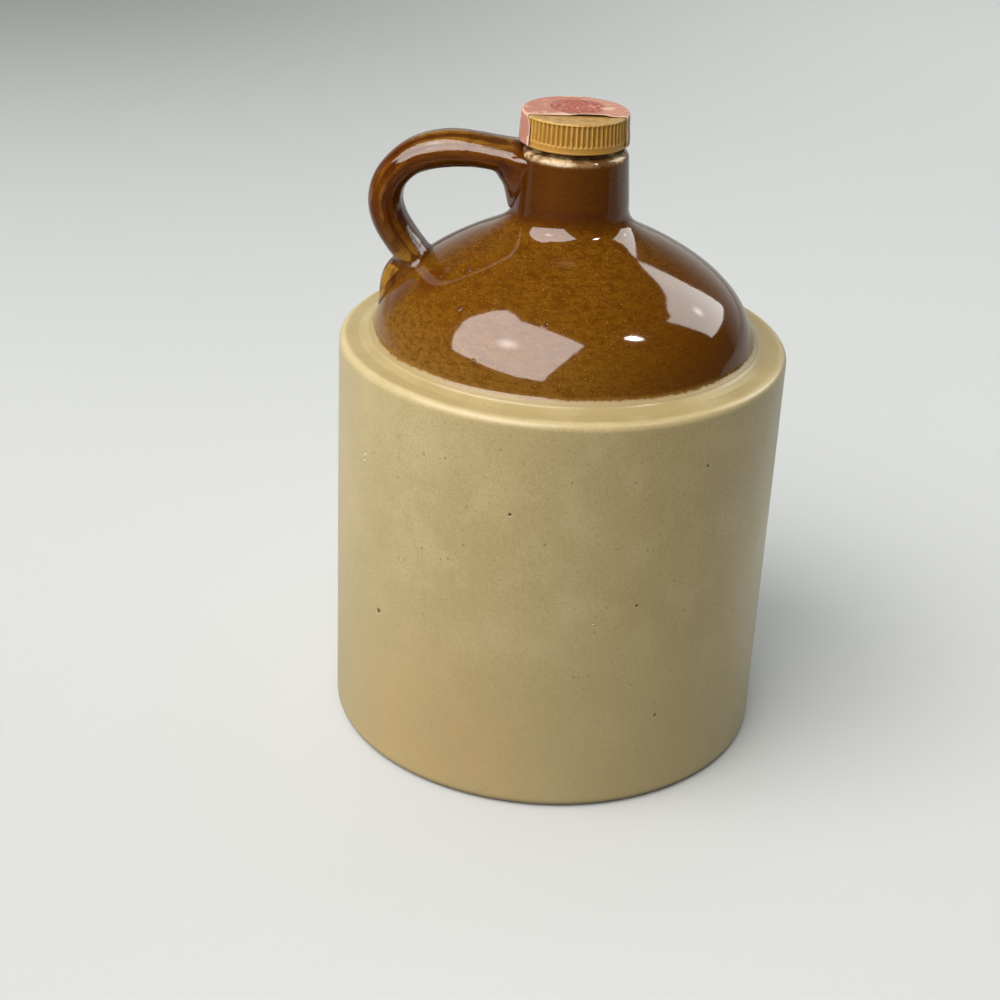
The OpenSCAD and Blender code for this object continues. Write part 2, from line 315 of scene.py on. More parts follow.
def thread_ridge(bm, low, radius, depth, pitch, turns, half_height):
    """Adds a helical ridge that fades out at both ends, growing outwards by its depth."""
    section = [(-0.25, -1.0), (0.35, -0.72), (0.85, -0.34), (1.0, 0.0), (0.85, 0.34),
               (0.35, 0.72), (-0.25, 1.0)]
    lap_steps, fade, sunk = 96, 0.09, 0.3
    ridge = bmesh.new()
    verts = [ridge.verts.new((radius + depth * x, 0, low + half_height * y))
             for x, y in section]
    edges = [ridge.edges.new(pair) for pair in zip(verts, verts[1:])]
    bmesh.ops.spin(ridge, geom=verts + edges, cent=(0, 0, 0), axis=UP,
                   dvec=(0, 0, pitch / lap_steps), angle=TURN * turns,
                   steps=int(lap_steps * turns))
    for v in ridge.verts:
        bearing = math.atan2(v.co.y, v.co.x) % TURN
        lap = round((v.co.z - low - pitch * bearing / TURN) / pitch)
        done = (lap + bearing / TURN) / turns
        strength = between(0, fade, 1 - fade, 1, done)
        out = from_axis(v.co)
        goal = radius + (out - radius) * strength - sunk * depth * (1 - strength)
        v.co.x *= goal / out
        v.co.y *= goal / out
    mesh = bpy.data.meshes.new("thread")
    ridge.to_mesh(mesh)
    ridge.free()
    bm.from_mesh(mesh)
    bpy.data.meshes.remove(mesh)
    bmesh.ops.recalc_face_normals(bm, faces=bm.faces)


def finished(name, bm, body, slot, material, *nodes):
    """Turns a bmesh into a piece that rides on a body and stands for CAD nodes."""
    for face in bm.faces:
        face.smooth = True
    mesh = bpy.data.meshes.new(name)
    bm.to_mesh(mesh)
    bm.free()
    mesh.materials.append(material)
    piece = bpy.data.objects.new(name, mesh)
    bpy.context.scene.collection.objects.link(piece)
    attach(piece, body)
    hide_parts(*nodes)
    return piece


def settled(piece):
    """Applies a piece's modifiers to its mesh."""
    graph = bpy.context.evaluated_depsgraph_get()
    mesh = bpy.data.meshes.new_from_object(piece.evaluated_get(graph))
    old = piece.data
    piece.modifiers.clear()
    piece.data = mesh
    bpy.data.meshes.remove(old)


# Node trees

class Wiring:
    """A node tree under construction: each call adds nodes and returns what comes out."""

    def __init__(self, tree, source="ShaderNodeTexCoord", output="Object"):
        self.tree = tree
        self.place = self.add(source).outputs[output]

    def add(self, kind, inputs=None, **options):
        """Adds one node, with its options and its inputs."""
        node = self.tree.nodes.new(kind)
        for option, value in options.items():
            setattr(node, option, value)
        for socket, value in (inputs or {}).items():
            self.join(node.inputs[socket], value)
        return node

    def join(self, socket, value):
        """Links a socket to another node's output, or gives it a plain value."""
        if isinstance(value, bpy.types.NodeSocket):
            self.tree.links.new(value, socket)
        else:
            socket.default_value = value

    def axis(self, name, vector=None):
        """One coordinate of a place."""
        return self.add("ShaderNodeSeparateXYZ",
                        {"Vector": vector or self.place}).outputs[name]

    def ramp(self, value, low, high, start=0.0, end=1.0, kind="SMOOTHSTEP"):
        """Maps a value from low..high to start..end, clamped."""
        return self.add("ShaderNodeMapRange",
                        {"Value": value, "From Min": low, "From Max": high, "To Min": start,
                         "To Max": end}, interpolation_type=kind).outputs["Result"]

    def math(self, operation, a, b=0.0):
        """One sum on two values."""
        return self.add("ShaderNodeMath", {0: a, 1: b}, operation=operation).outputs[0]

    def chained(self, operation, values):
        """The same sum over some values, one after another."""
        total = values[0]
        for value in values[1:]:
            total = self.math(operation, total, value)
        return total

    def times(self, *values):
        """The product of some values."""
        return self.chained("MULTIPLY", values)

    def plus(self, *values):
        """The sum of some values."""
        return self.chained("ADD", values)

    def most(self, *values):
        """The largest of some values."""
        return self.chained("MAXIMUM", values)

    def rest(self, share):
        """What a share leaves of one."""
        return self.math("SUBTRACT", 1, share)

    def distance(self, place, other):
        """How far two places lie apart."""
        return self.add("ShaderNodeVectorMath", {0: place, 1: other},
                        operation="DISTANCE").outputs["Value"]

    def size(self, vector):
        """A vector's length."""
        return self.add("ShaderNodeVectorMath", {0: vector}, operation="LENGTH").outputs["Value"]

    def blend(self, factor, a, b, mode="MIX"):
        """Mixes two colours, or values given as colours."""
        node = self.add("ShaderNodeMix", {"Factor": factor}, data_type="RGBA",
                        blend_type=mode)
        for socket, value in ((node.inputs[6], a), (node.inputs[7], b)):
            self.join(socket, value if isinstance(value, bpy.types.NodeSocket)
                      else (*value, 1))
        return node.outputs[2]

    def laid(self, base, tone, *shares):
        """A tone laid over a base, as strongly as the product of some shares."""
        return self.blend(self.times(*shares), base, tone)


class Finish(Wiring):
    """A material under construction, with patterns in object coordinates."""

    def __init__(self, name, **sockets):
        self.material = bpy.data.materials.new(name)
        self.material.use_nodes = True
        super().__init__(self.material.node_tree)
        self.done(**sockets)

    def done(self, **sockets):
        """Sets the shader's sockets, named with low lines for spaces."""
        shader = self.tree.nodes["Principled BSDF"]
        for name, value in sockets.items():
            self.join(shader.inputs[name.replace("_", " ")], value)
        return self.material

    def moved(self, scale, location=(0, 0, 0), vector=None):
        """Object coordinates, scaled and moved."""
        return self.add("ShaderNodeMapping", {"Vector": vector or self.place, "Scale": scale,
                                              "Location": location}).outputs["Vector"]

    def noise(self, scale, detail=4, roughness=0.5, distortion=0.0, vector=None):
        """Soft noise, with its scale in cycles per metre."""
        return self.add("ShaderNodeTexNoise",
                        {"Vector": vector or self.place, "Scale": scale, "Detail": detail,
                         "Roughness": roughness, "Distortion": distortion}).outputs["Fac"]

    def cells(self, scale, vector=None):
        """Distance to the nearest of many scattered points."""
        return self.add("ShaderNodeTexVoronoi", {"Vector": vector or self.place,
                                                 "Scale": scale}).outputs["Distance"]

    def radius(self):
        """Distance from the jug's axis, in metres."""
        return self.size(self.add("ShaderNodeVectorMath", {0: self.place, 1: (1, 1, 0)},
                                  operation="MULTIPLY").outputs[0])

    def near(self, place, reach):
        """1 at a place and 0 beyond its reach."""
        return self.ramp(self.distance(self.place, place), 0, reach, 1, 0)

    def spots(self, marks):
        """The strongest of several marks: bearing, height, radius and reach."""
        return self.most(*(self.near(on_wall(*mark[:3]), mark[3] * MM) for mark in marks))

    def worn(self, name):
        """A value that the mesh carries at each point."""
        return self.add("ShaderNodeAttribute", attribute_name=name).outputs["Fac"]

    def bump(self, height, distance, normal=None):
        """Raises the surface by a share of a distance, on top of an earlier bump."""
        inputs = {"Height": height, "Distance": distance}
        if normal:
            inputs["Normal"] = normal
        return self.add("ShaderNodeBump", inputs).outputs["Normal"]


def on_wall(degrees, height, radius):
    """A place on the jug from its bearing in degrees, height and radius in millimetres."""
    bearing = math.radians(degrees)
    return (radius * MM * math.cos(bearing), radius * MM * math.sin(bearing), height * MM)


# Marks in the glazes, each with its bearing in degrees, then its height, radius and reach in
# millimetres
DARK_PITS = [(226.4, 44.5, 58, 1.0), (296.6, 58.7, 58, 0.55), (264.1, 83.4, 58, 0.6),
             (304.4, 25.2, 58, 0.6), (313.6, 93.6, 58, 0.6), (40, 60, 58, 0.8),
             (120, 35, 58, 0.7), (165, 80, 58, 0.9)]
PALE_CHIPS = [(219.0, 86.2, 58, 0.75), (218.6, 84.4, 58, 0.6), (285.7, 54.7, 58, 0.5),
              (75, 90, 58, 0.6)]
FOOT_BLUSH = (245, 12, 58, 48)
GLAZE_BEADS = [(247.6, 116.1, 47, 1.1), (267.7, 125.3, 39.2, 1.0), (234, 125.1, 39.5, 1.1),
               (26.4, 134.1, 24.9, 0.9), (223.3, 131.1, 30.6, 0.8), (140, 120, 43.6, 1.0)]
# Painted shade and painted reflection of the handle, beside the handle's foot
HANDLE_FOOT_PAINTED_SHADE = [(210, 127, 37, 9), (199, 121, 43.5, 9), (150, 127, 37, 9), (161, 121, 43.5, 9)]
# Worn places round the neck's top edge, the one at 338 degrees partly a painted highlight:
# bearing of the middle and reach, in degrees
WORN_AND_HIGHLIGHT_PATCHES = [(256, 24), (338, 17), (222, 14), (40, 30), (130, 40)]

# Tones of the tan glaze and its clay, and the shade painted on its ledge, besides those in the
# settings
TAN_GRAIN = (0.33, 0.255, 0.115)
TAN_BLUSH = (0.49, 0.325, 0.135)
TAN_CHIP = (0.72, 0.66, 0.50)
TAN_LEDGE_PAINTED_SHADE = (0.375, 0.295, 0.125)
TAN_SEAM = (0.345, 0.262, 0.108)
BARE_CLAY_DARK = (0.30, 0.22, 0.14)
CROCK_INSIDE = (0.09, 0.035, 0.006)

# Tones of the brown glaze on the dome and neck, and of the shade painted on it
BROWN_FLECK = (0.27, 0.125, 0.018)
BROWN_CLOUD = (0.165, 0.070, 0.006)
BROWN_LOW = (0.235, 0.122, 0.022)
BROWN_GOLD = (0.36, 0.20, 0.035)
BROWN_PAINTED_SHADE_RIGHT = (0.095, 0.029, 0.0015)
BROWN_NECK = (0.088, 0.023, 0.001)
BROWN_PAINTED_SHADE_NECK = (0.050, 0.010, 0.001)
BROWN_PAINTED_SHADE_FOOT = (0.085, 0.020, 0.001)
BROWN_HOLLOW = (0.055, 0.012, 0.002)
BROWN_CREST = (0.30, 0.14, 0.022)
BROWN_HALO = (0.25, 0.135, 0.03)

# Tones of the brown glaze on the handle
STRAP_DARK = (0.050, 0.009, 0.001)
STRAP_WARM = (0.112, 0.030, 0.001)
STRAP_FLECK = (0.16, 0.055, 0.004)
STRAP_STREAK = (0.23, 0.095, 0.008)
STRAP_GOLD = (0.31, 0.165, 0.022)

# Tones of the cap, its wad and its facing
PLASTIC_DEEP = (0.40, 0.205, 0.03)
PLASTIC_DIRT_AND_SHADE = (0.25, 0.11, 0.012)
PLASTIC_BAND = (0.38, 0.195, 0.036)
CAP_TOP_DARK = (0.34, 0.21, 0.06)
CAP_TOP_PALE = (0.47, 0.30, 0.105)
PULP = (0.30, 0.26, 0.20)
PULP_FLECK = (0.16, 0.12, 0.09)
FILM = (0.80, 0.79, 0.75)
FILM_HAZE = (0.70, 0.68, 0.62)

# Tones of the paper strip
PRINT_PALE = (0.47, 0.27, 0.19)
PRINT_RED = (0.42, 0.12, 0.078)
PRINT_RIM = (0.15, 0.035, 0.03)
PAPER_SOILED = (0.50, 0.40, 0.31)

FLOOR_MIDDLE = (0.68, 0.72, 0.71)
BLACK = (0, 0, 0)


def tan_glaze(s):
    """Satin tan glaze over speckled clay, with bare clay under the foot."""
    f = Finish("tan_glaze", IOR=1.5, Coat_Weight=0.25, Coat_Roughness=0.22)
    z = f.axis("Z")
    patch = f.noise(75, 4, 0.55, 0.3)
    fibre = f.noise(1, 4, 0.6, 1.5, f.moved((650, 650, 1500)))
    grain = f.noise(1700, 4, 0.65)
    base = f.laid(s.glaze_deep, s.glaze, f.ramp(f.noise(16, 3), 0.30, 0.70, 0.25, 1))
    base = f.laid(base, s.glaze_pale, f.ramp(patch, 0.42, 0.70, 0, 0.55))
    base = f.laid(base, s.glaze_deep, f.ramp(fibre, 0.52, 0.70, 0, 0.42))
    base = f.laid(base, TAN_GRAIN, f.ramp(grain, 0.52, 0.66, 0, 0.5))
    base = f.laid(base, s.glaze_pale, f.ramp(grain, 0.34, 0.46, 0.45, 0))
    base = f.laid(base, s.speck, f.ramp(f.cells(330), 0.05, 0.13, 1, 0),
                  f.ramp(f.noise(150, 2), 0.45, 0.6), 0.6)
    base = f.laid(base, s.glaze_deep, f.ramp(z, 10 * MM, 70 * MM, 0.5, 0))
    base = f.laid(base, TAN_BLUSH, f.spots([FOOT_BLUSH]),
                  f.ramp(patch, 0.35, 0.6, 0.15, 0.55))
    pits, chips = f.spots(DARK_PITS), f.spots(PALE_CHIPS)
    base = f.laid(base, s.speck, f.ramp(pits, 0.25, 0.8))
    base = f.laid(base, TAN_CHIP, f.ramp(chips, 0.3, 0.6))
    # Painted shade darkens the ledge inside the rim, beside the dome
    base = f.laid(base, TAN_LEDGE_PAINTED_SHADE, f.ramp(z, SEAT_Z - 2.4 * MM, SEAT_Z - 1.7 * MM),
                  f.ramp(f.radius(), s.radius - 1.2 * MM, s.radius - 2.6 * MM),
                  f.ramp(patch, 0.3, 0.65, 0.9, 0.55))
    base = f.laid(base, s.glaze_pale, f.worn("thin_glaze"), f.ramp(patch, 0.3, 0.6, 0.1, 0.6))
    base = f.laid(base, CROCK_INSIDE, f.worn("inside"))
    bare = f.ramp(f.plus(z, f.ramp(patch, 0.3, 0.7, 0, 0.35 * MM)), 0.35 * MM, 0.8 * MM, 1, 0)
    clay = f.laid(s.bare_clay, BARE_CLAY_DARK, f.ramp(grain, 0.3, 0.7))
    skin = f.bump(f.noise(900, 2), 0.03 * MM)
    skin = f.bump(f.noise(240, 3), 0.05 * MM, skin)
    skin = f.bump(f.rest(pits), 0.5 * MM, skin)
    return f.done(Base_Color=f.laid(base, clay, bare),
                  Roughness=f.most(f.ramp(patch, 0.3, 0.7, 0.30, 0.42), f.times(bare, 0.85)),
                  Normal=f.bump(f.rest(chips), 0.25 * MM, skin))


def dome_ground(f, s, fine):
    """Mottled brown glaze, paler low down and darker round the neck; painted shade darkens its
    right, the neck's left and beside the handle's foot.
    """
    x, y, z = f.axis("X"), f.axis("Y"), f.axis("Z")
    run = f.noise(1, 4, 0.6, 0.6, f.moved((420, 420, 1100)))
    base = f.laid(s.glaze_deep, s.glaze, f.ramp(run, 0.36, 0.62, 0.35, 1))
    base = f.laid(base, BROWN_FLECK, f.ramp(fine, 0.52, 0.70, 0, 0.34))
    base = f.laid(base, s.glaze_deep, f.ramp(fine, 0.30, 0.46, 0.45, 0))
    base = f.laid(base, BROWN_CLOUD, f.ramp(f.noise(30, 3), 0.42, 0.66, 0, 0.3))
    base = f.laid(base, BROWN_LOW, f.ramp(z, SEAT_Z + 2 * MM, SEAT_Z + 17 * MM, 0.55, 0),
                  f.ramp(x, -30 * MM, 30 * MM, 1, 0.25), f.ramp(run, 0.36, 0.6, 0.4, 1))
    dots = f.cells(1, f.moved((1300, 1300, 2000)))
    base = f.laid(base, s.glaze_deep, f.ramp(dots, 0.16, 0.34, 0.6, 0))
    golden = f.cells(1, f.moved((700, 700, 1200), (3, 1, 2)))
    base = f.laid(base, BROWN_GOLD, f.ramp(golden, 0.08, 0.2, 0.7, 0),
                  f.ramp(f.noise(120, 2), 0.4, 0.6))
    # Painted shade: the dome darkens towards its right side, away from the lamps
    base = f.laid(base, BROWN_PAINTED_SHADE_RIGHT, f.ramp(x, 5 * MM, 45 * MM, 0, 0.85),
                  f.ramp(y, -20 * MM, 20 * MM, 1, 0.3))
    neck = f.ramp(z, LIP_Z - 26 * MM, LIP_Z - 21 * MM, 0, 0.72)
    base = f.laid(base, BROWN_NECK, neck)
    # Painted shade on the neck's left, under the handle's root
    base = f.laid(base, BROWN_PAINTED_SHADE_NECK, neck, f.ramp(x, -3 * MM, -12 * MM, 0, 0.75))
    # Painted shade and painted reflection of the handle on the dome beside its foot
    return f.laid(base, BROWN_PAINTED_SHADE_FOOT, f.ramp(f.spots(HANDLE_FOOT_PAINTED_SHADE), 0.15, 0.8, 0, 0.65))


def strap_ground(f, fine, streak):
    """Brown glaze drawn along the strap, golden where it runs into the jug."""
    z = f.axis("Z")
    base = f.laid(STRAP_DARK, STRAP_WARM, f.ramp(streak, 0.36, 0.58))
    base = f.laid(base, STRAP_FLECK, f.ramp(fine, 0.50, 0.70, 0, 0.22))
    base = f.laid(base, STRAP_STREAK, f.ramp(streak, 0.60, 0.70, 0, 0.33))
    ends = f.most(f.ramp(z, SEAT_Z + 30 * MM, SEAT_Z + 14 * MM, 0, 0.9),
                  f.ramp(z, LIP_Z - 10 * MM, LIP_Z - 5 * MM, 0, 0.55))
    mottle = f.noise(1, 4, 0.6, 0.6, f.moved((380, 380, 190)))
    return f.laid(base, STRAP_GOLD, ends, f.ramp(mottle, 0.38, 0.58, 0.3, 1))


def brown_glaze(s):
    """Glossy amber-brown glaze, mottled, pale where it breaks over an edge."""
    f = Finish("brown_glaze", IOR=1.65)
    out, on_strap, form = f.radius(), f.worn("clay"), f.worn("form")
    fine = f.noise(1, 3, 0.65, 0.4, f.moved((1500, 1500, 2400)))
    drawn = f.add("ShaderNodeCombineXYZ", {"X": f.times(f.worn("along"), 55),
                                           "Y": f.times(f.worn("around_x"), 2.6),
                                           "Z": f.times(f.worn("around_y"), 2.6)})
    streak = f.noise(1, 4, 0.62, 0.5, drawn.outputs["Vector"])
    base = f.laid(dome_ground(f, s, fine), strap_ground(f, fine, streak), on_strap)
    base = f.laid(base, BROWN_HOLLOW, f.ramp(form, -0.55, -0.05, 0.8, 0))
    uneven = f.ramp(f.noise(300), 0.25, 0.75, -0.35, 0.35)
    base = f.laid(base, BROWN_CREST, f.ramp(f.plus(form, uneven), 0.45, 1.15, 0, 0.8),
                  f.ramp(on_strap, 0, 1, 1, 0.6))
    # Pale worn glaze on the neck's top edge, in one patch a painted highlight
    worn = f.times(f.worn("worn"), f.ramp(f.noise(260, 4, 0.6, 0.5), 0.36, 0.54, 0.25, 1))
    base = f.laid(base, s.glaze_worn_and_highlight, worn, f.ramp(f.noise(900, 3), 0.3, 0.55, 0.4, 1))
    beads = f.spots(GLAZE_BEADS)
    base = f.laid(base, s.glaze_deep, f.ramp(beads, 0.3, 0.9, 0, 0.6))
    # The brown ends in a ragged line just over the ledge, and the tan glaze shows below it
    edge = f.plus(f.axis("Z"),
                  f.ramp(f.noise(70, 3, 0.6), 0.3, 0.7, -0.3 * MM, 0.3 * MM),
                  f.ramp(f.noise(900, 3, 0.6), 0.3, 0.7, -0.16 * MM, 0.16 * MM))
    base = f.laid(base, BROWN_HALO, f.ramp(edge, SEAT_Z + 0.9 * MM, SEAT_Z + 2.3 * MM, 0.6, 0))
    base = f.laid(base, TAN_SEAM, f.ramp(edge, SEAT_Z + 0.65 * MM, SEAT_Z + 1.2 * MM, 1, 0),
                  f.ramp(out, 47 * MM, 48 * MM))
    matt = f.times(f.ramp(edge, SEAT_Z + 0.8 * MM, SEAT_Z + 1.3 * MM, 1, 0),
                   f.ramp(out, 46 * MM, 47 * MM), 0.5)
    rough = f.plus(f.ramp(fine, 0.3, 0.7, 0.05, 0.08), f.times(worn, 0.25))
    skin = f.bump(f.noise(70, 2, 0.4), 0.08 * MM)
    skin = f.bump(f.noise(420, 2), 0.008 * MM, skin)
    skin = f.bump(f.times(streak, on_strap), 0.16 * MM, skin)
    return f.done(Base_Color=base, Roughness=f.most(rough, matt),
                  Normal=f.bump(f.ramp(beads, 0, 0.7), 0.35 * MM, skin))


def cap_plastic(s):
    """Satin moulded ochre plastic, rubbed pale on top and along its edges, with painted
    highlights on the ribs and painted shade in their grooves.
    """
    f = Finish("cap_plastic", IOR=1.5, Subsurface_Weight=0.08, Subsurface_Scale=1.5 * MM)
    z = f.axis("Z")
    rub = f.noise(420, 5, 0.65, 0.4)
    base = f.laid(s.plastic, PLASTIC_DEEP, f.ramp(f.noise(160, 3), 0.35, 0.65, 0, 0.35))
    # Rubbed pale plastic, with painted highlights on the rib crests and their lower tips
    base = f.laid(base, s.plastic_worn_and_highlight, f.worn("worn"), f.ramp(rub, 0.32, 0.6, 0.35, 1))
    base = f.laid(base, s.plastic_worn_and_highlight, f.ramp(f.noise(2600, 3, 0.6), 0.5, 0.75, 0, 0.18))
    # Dirt and painted shade darken the grooves between the ribs
    base = f.laid(base, PLASTIC_DIRT_AND_SHADE, f.worn("groove"), 0.75)
    top = f.laid(CAP_TOP_DARK, CAP_TOP_PALE, f.ramp(f.noise(520, 4, 0.7), 0.4, 0.6))
    base = f.laid(base, top, f.ramp(z, CAP_HIGH.z - 0.5 * MM, CAP_HIGH.z - 0.2 * MM))
    base = f.laid(base, PLASTIC_BAND, f.ramp(z, CAP_LOW.z + 1.9 * MM, CAP_LOW.z + 1.4 * MM),
                  0.6)
    return f.done(Base_Color=base, Roughness=f.ramp(rub, 0.3, 0.7, 0.32, 0.5),
                  Normal=f.bump(f.noise(1800, 3), 0.02 * MM))


def pulpboard(s):
    """Grey-brown pressed pulp with fibres."""
    f = Finish("pulpboard", Roughness=0.9)
    fibre = f.noise(1, 5, 0.7, 1.5, f.moved((2400, 700, 900)))
    base = f.laid(PULP, s.wad, f.ramp(fibre, 0.35, 0.65))
    base = f.laid(base, PULP_FLECK, f.ramp(f.cells(1500), 0.05, 0.16, 0.5, 0))
    return f.done(Base_Color=base, Normal=f.bump(fibre, 0.06 * MM))


def liner_film():
    """Smooth white facing film, a little hazy."""
    f = Finish("liner_film", Roughness=0.22, Coat_Weight=0.4)
    return f.done(Base_Color=f.laid(FILM, FILM_HAZE, f.ramp(f.noise(300, 4, 0.6), 0.35, 0.7)),
                  Normal=f.bump(f.noise(900, 2), 0.01 * MM))


def strip_paper(s):
    """Red-printed paper: cream border, stippled ends and a plain engine-turned rosette."""
    f = Finish("strip_paper", Roughness=0.62, IOR=1.45)
    uv = f.add("ShaderNodeUVMap", uv_map="strip").outputs["UV"]
    fibre = f.noise(900, 4, 0.6, 1.0, uv)
    stipple = f.ramp(f.cells(1500, uv), 0.25, 0.45, 1, 0)
    field = f.laid(PRINT_PALE, s.ink, stipple, 0.55)
    field = f.laid(field, s.ink, f.ramp(fibre, 0.35, 0.65, 0.45, 0.75))
    # The rosette: an oval with wavy rings, worked out from its own radius and bearing
    oval = f.moved((1 / (6.5 * MM), 1 / (6.6 * MM), 1), (-0.08, 0.12, 0), uv)
    reach = f.size(oval)
    bearing = f.math("ARCTAN2", f.axis("Y", oval), f.axis("X", oval))
    petals = f.math("SINE", f.times(bearing, 9))
    rings = f.math("SINE", f.plus(f.times(reach, 19), f.times(petals, 1.6)))
    rosette = f.laid(PRINT_RED, s.ink_deep, f.ramp(rings, -0.6, 0.5, 0.0, 0.95))
    field = f.laid(field, rosette, f.ramp(reach, 0.93, 1.0, 1, 0))
    field = f.laid(field, PRINT_RIM, f.ramp(reach, 0.93, 0.98),
                   f.ramp(reach, 1.0, 1.05, 1, 0), 0.85)
    # Fine rays fan out beside the rosette
    rays = f.ramp(f.math("SINE", f.times(bearing, 42)), 0.1, 0.6, 0, 0.4)
    field = f.laid(field, s.paper, f.ramp(reach, 1.12, 1.2),
                   f.ramp(f.axis("X", uv), 2 * MM, 5 * MM), rays)
    rub = f.ramp(f.noise(330, 5, 0.65, 0.5, uv), 0.56, 0.68)
    field = f.laid(field, s.paper, rub, 0.55)
    field = f.laid(field, s.paper, f.worn("crease"), 0.95)
    inset = f.math("SUBTRACT", s.width / 2, f.math("ABSOLUTE", f.axis("Y", uv)))
    wobble = f.ramp(f.noise(260, 3, 0.6, 0.0, uv), 0.3, 0.7, -0.35 * MM, 0.35 * MM)
    base = f.laid(field, s.paper, f.ramp(f.plus(inset, wobble), 0.35 * MM, 0.6 * MM, 1, 0))
    base = f.laid(base, PAPER_SOILED, f.ramp(fibre, 0.4, 0.8, 0, 0.25))
    skin = f.bump(f.noise(420, 4, 0.6, 0.4, uv), 0.10 * MM)
    return f.done(Base_Color=base, Normal=f.bump(fibre, 0.03 * MM, skin))


# The crock

def crock_outline(s, dome):
    """From the middle of the recess, round the foot, up the wall, over the ledge, and in."""
    inner, ring = s.radius - s.wall, s.radius - s.foot_ring
    floor, shelf = s.foot_recess + s.floor, s.rim_height - s.wall
    mouth, flare = dome.foot_radius - dome.wall, dome.foot_radius + FOOT_FLARE
    ring_round, ring_slope, corner, knee = 0.7 * MM, 2.2 * MM, 6 * MM, 3.7 * MM
    line = Outline([(0, s.foot_recess)])
    line.run_to((ring - ring_slope, s.foot_recess), 12)
    line.turn((ring - ring_round, ring_round), ring_round, 180, 270, 5)
    line.run_to((s.radius - s.foot_round, 0), 6)
    line.turn((s.radius - s.foot_round, s.foot_round), s.foot_round, -90, 0, 10)
    line.run_to((s.radius, s.rim_height - s.rim_round), 90)
    line.turn((s.radius - s.rim_round, s.rim_height - s.rim_round), s.rim_round, 0, 96, 12)
    # The ledge dips behind the rolled rim, and rises to the dome's foot
    line.run_to((dome.foot_radius + 3.4 * MM, s.rim_height + 0.12 * MM), 8)
    line.run_to((flare + 0.45 * MM, SEAT_Z - 0.42 * MM), 5)
    line.run_to((flare + 0.02 * MM, SEAT_Z - 0.02 * MM), 4)
    line.run_to((flare, SEAT_Z))
    line.run_to((flare - 0.03 * MM, SEAT_Z))
    # Under the dome the clay lies a hair lower
    seat = SEAT_Z - 0.05 * MM
    line.run_to((dome.foot_radius - 2.25 * MM, seat))
    line.run_to((mouth, seat), 3)
    line.turn((mouth + knee, shelf + knee), knee, 180, 270, 6)
    line.turn((inner - knee, shelf - knee), knee, 90, 0, 6)
    line.run_to((inner, floor + corner), 24)
    line.turn((inner - corner, floor + corner), corner, 0, -90, 8)
    line.run_to((0, floor), 12)
    return line


class JUG_OT_crock(Operator):
    """Throws the crock and glazes it tan"""
    bl_idname = "jug.crock"
    bl_label = "Crock"

    def execute(self, context):
        s, dome = context.scene.jug_crock, context.scene.jug_dome
        bm = spun(crock_outline(s, dome), 240)
        strayed(bm, s.waviness)
        rim, inner = s.rim_height, s.radius - s.wall
        crest = s.radius - s.rim_round * 0.55
        seam = dome.foot_radius + FOOT_FLARE + 0.3 * MM
        # The rim rises and falls a little on its way round
        for v in bm.verts:
            high = smoothstep(rim - 6 * MM, rim, v.co.z)
            high *= smoothstep(seam, seam + 3 * MM, from_axis(v.co))
            way = outwards(v.co) * RIM_WAVES + RIM_START
            v.co.z += high * s.rim_waviness * noise.noise(way)

        def thin(place):
            """The glaze runs thin over the rim."""
            return tent(crest, 1.3 * MM, from_axis(place)) \
                * smoothstep(rim - 3 * MM, rim - 0.6 * MM, place.z)

        def inside(place):
            """The hollow is glazed dark."""
            hollow = 1 - smoothstep(inner + 0.3 * MM, inner + 1 * MM, from_axis(place))
            return hollow * smoothstep(5 * MM, 7 * MM, place.z) * (place.z < SEAT_Z - 1 * MM)

        mark(bm, "thin_glaze", thin)
        mark(bm, "inside", inside)
        finished("crock", bm, "jug", "tan_glaze", tan_glaze(s), "crock_body")
        return {"FINISHED"}


# The domed top

def dome_line(s, steps):
    """The outside of the dome, from the ledge to the neck."""
    foot, top = Vector((s.foot_radius, SEAT_Z)), Vector((s.neck_radius, SEAT_Z + s.height))
    turn = Vector((s.neck_radius + 0.247 * (s.foot_radius - s.neck_radius),
                   SEAT_Z + 0.723 * s.height))
    flank = [bezier(foot, foot + 0.176 * s.height * leaning(s.foot_lean),
                    turn - 0.75 * s.height * leaning(s.flank_lean), turn, i / steps)
             for i in range(steps)]
    half = steps // 2
    throat = [bezier(turn, turn + 0.262 * s.height * leaning(s.flank_lean),
                     top - Vector((0, 0.102 * s.height)), top, i / half)
              for i in range(half + 1)]
    return flank + throat


def inner_dome_line(s):
    """The inside of the dome: the outside moved in by the wall, down from the bore."""
    line = []
    outer = dome_line(s, 40)
    for before, here, after in zip(outer, outer[1:], outer[2:]):
        run = (after - before).normalized()
        place = here - s.wall * Vector((run.y, -run.x))
        if place.x > s.bore_radius and place.y > SEAT_Z + s.wall / 2:
            line.append(place)
    return line[::-1]


def neck_top_of(dome):
    """Height of the neck's top edge."""
    return SEAT_Z + dome.height + dome.neck_height


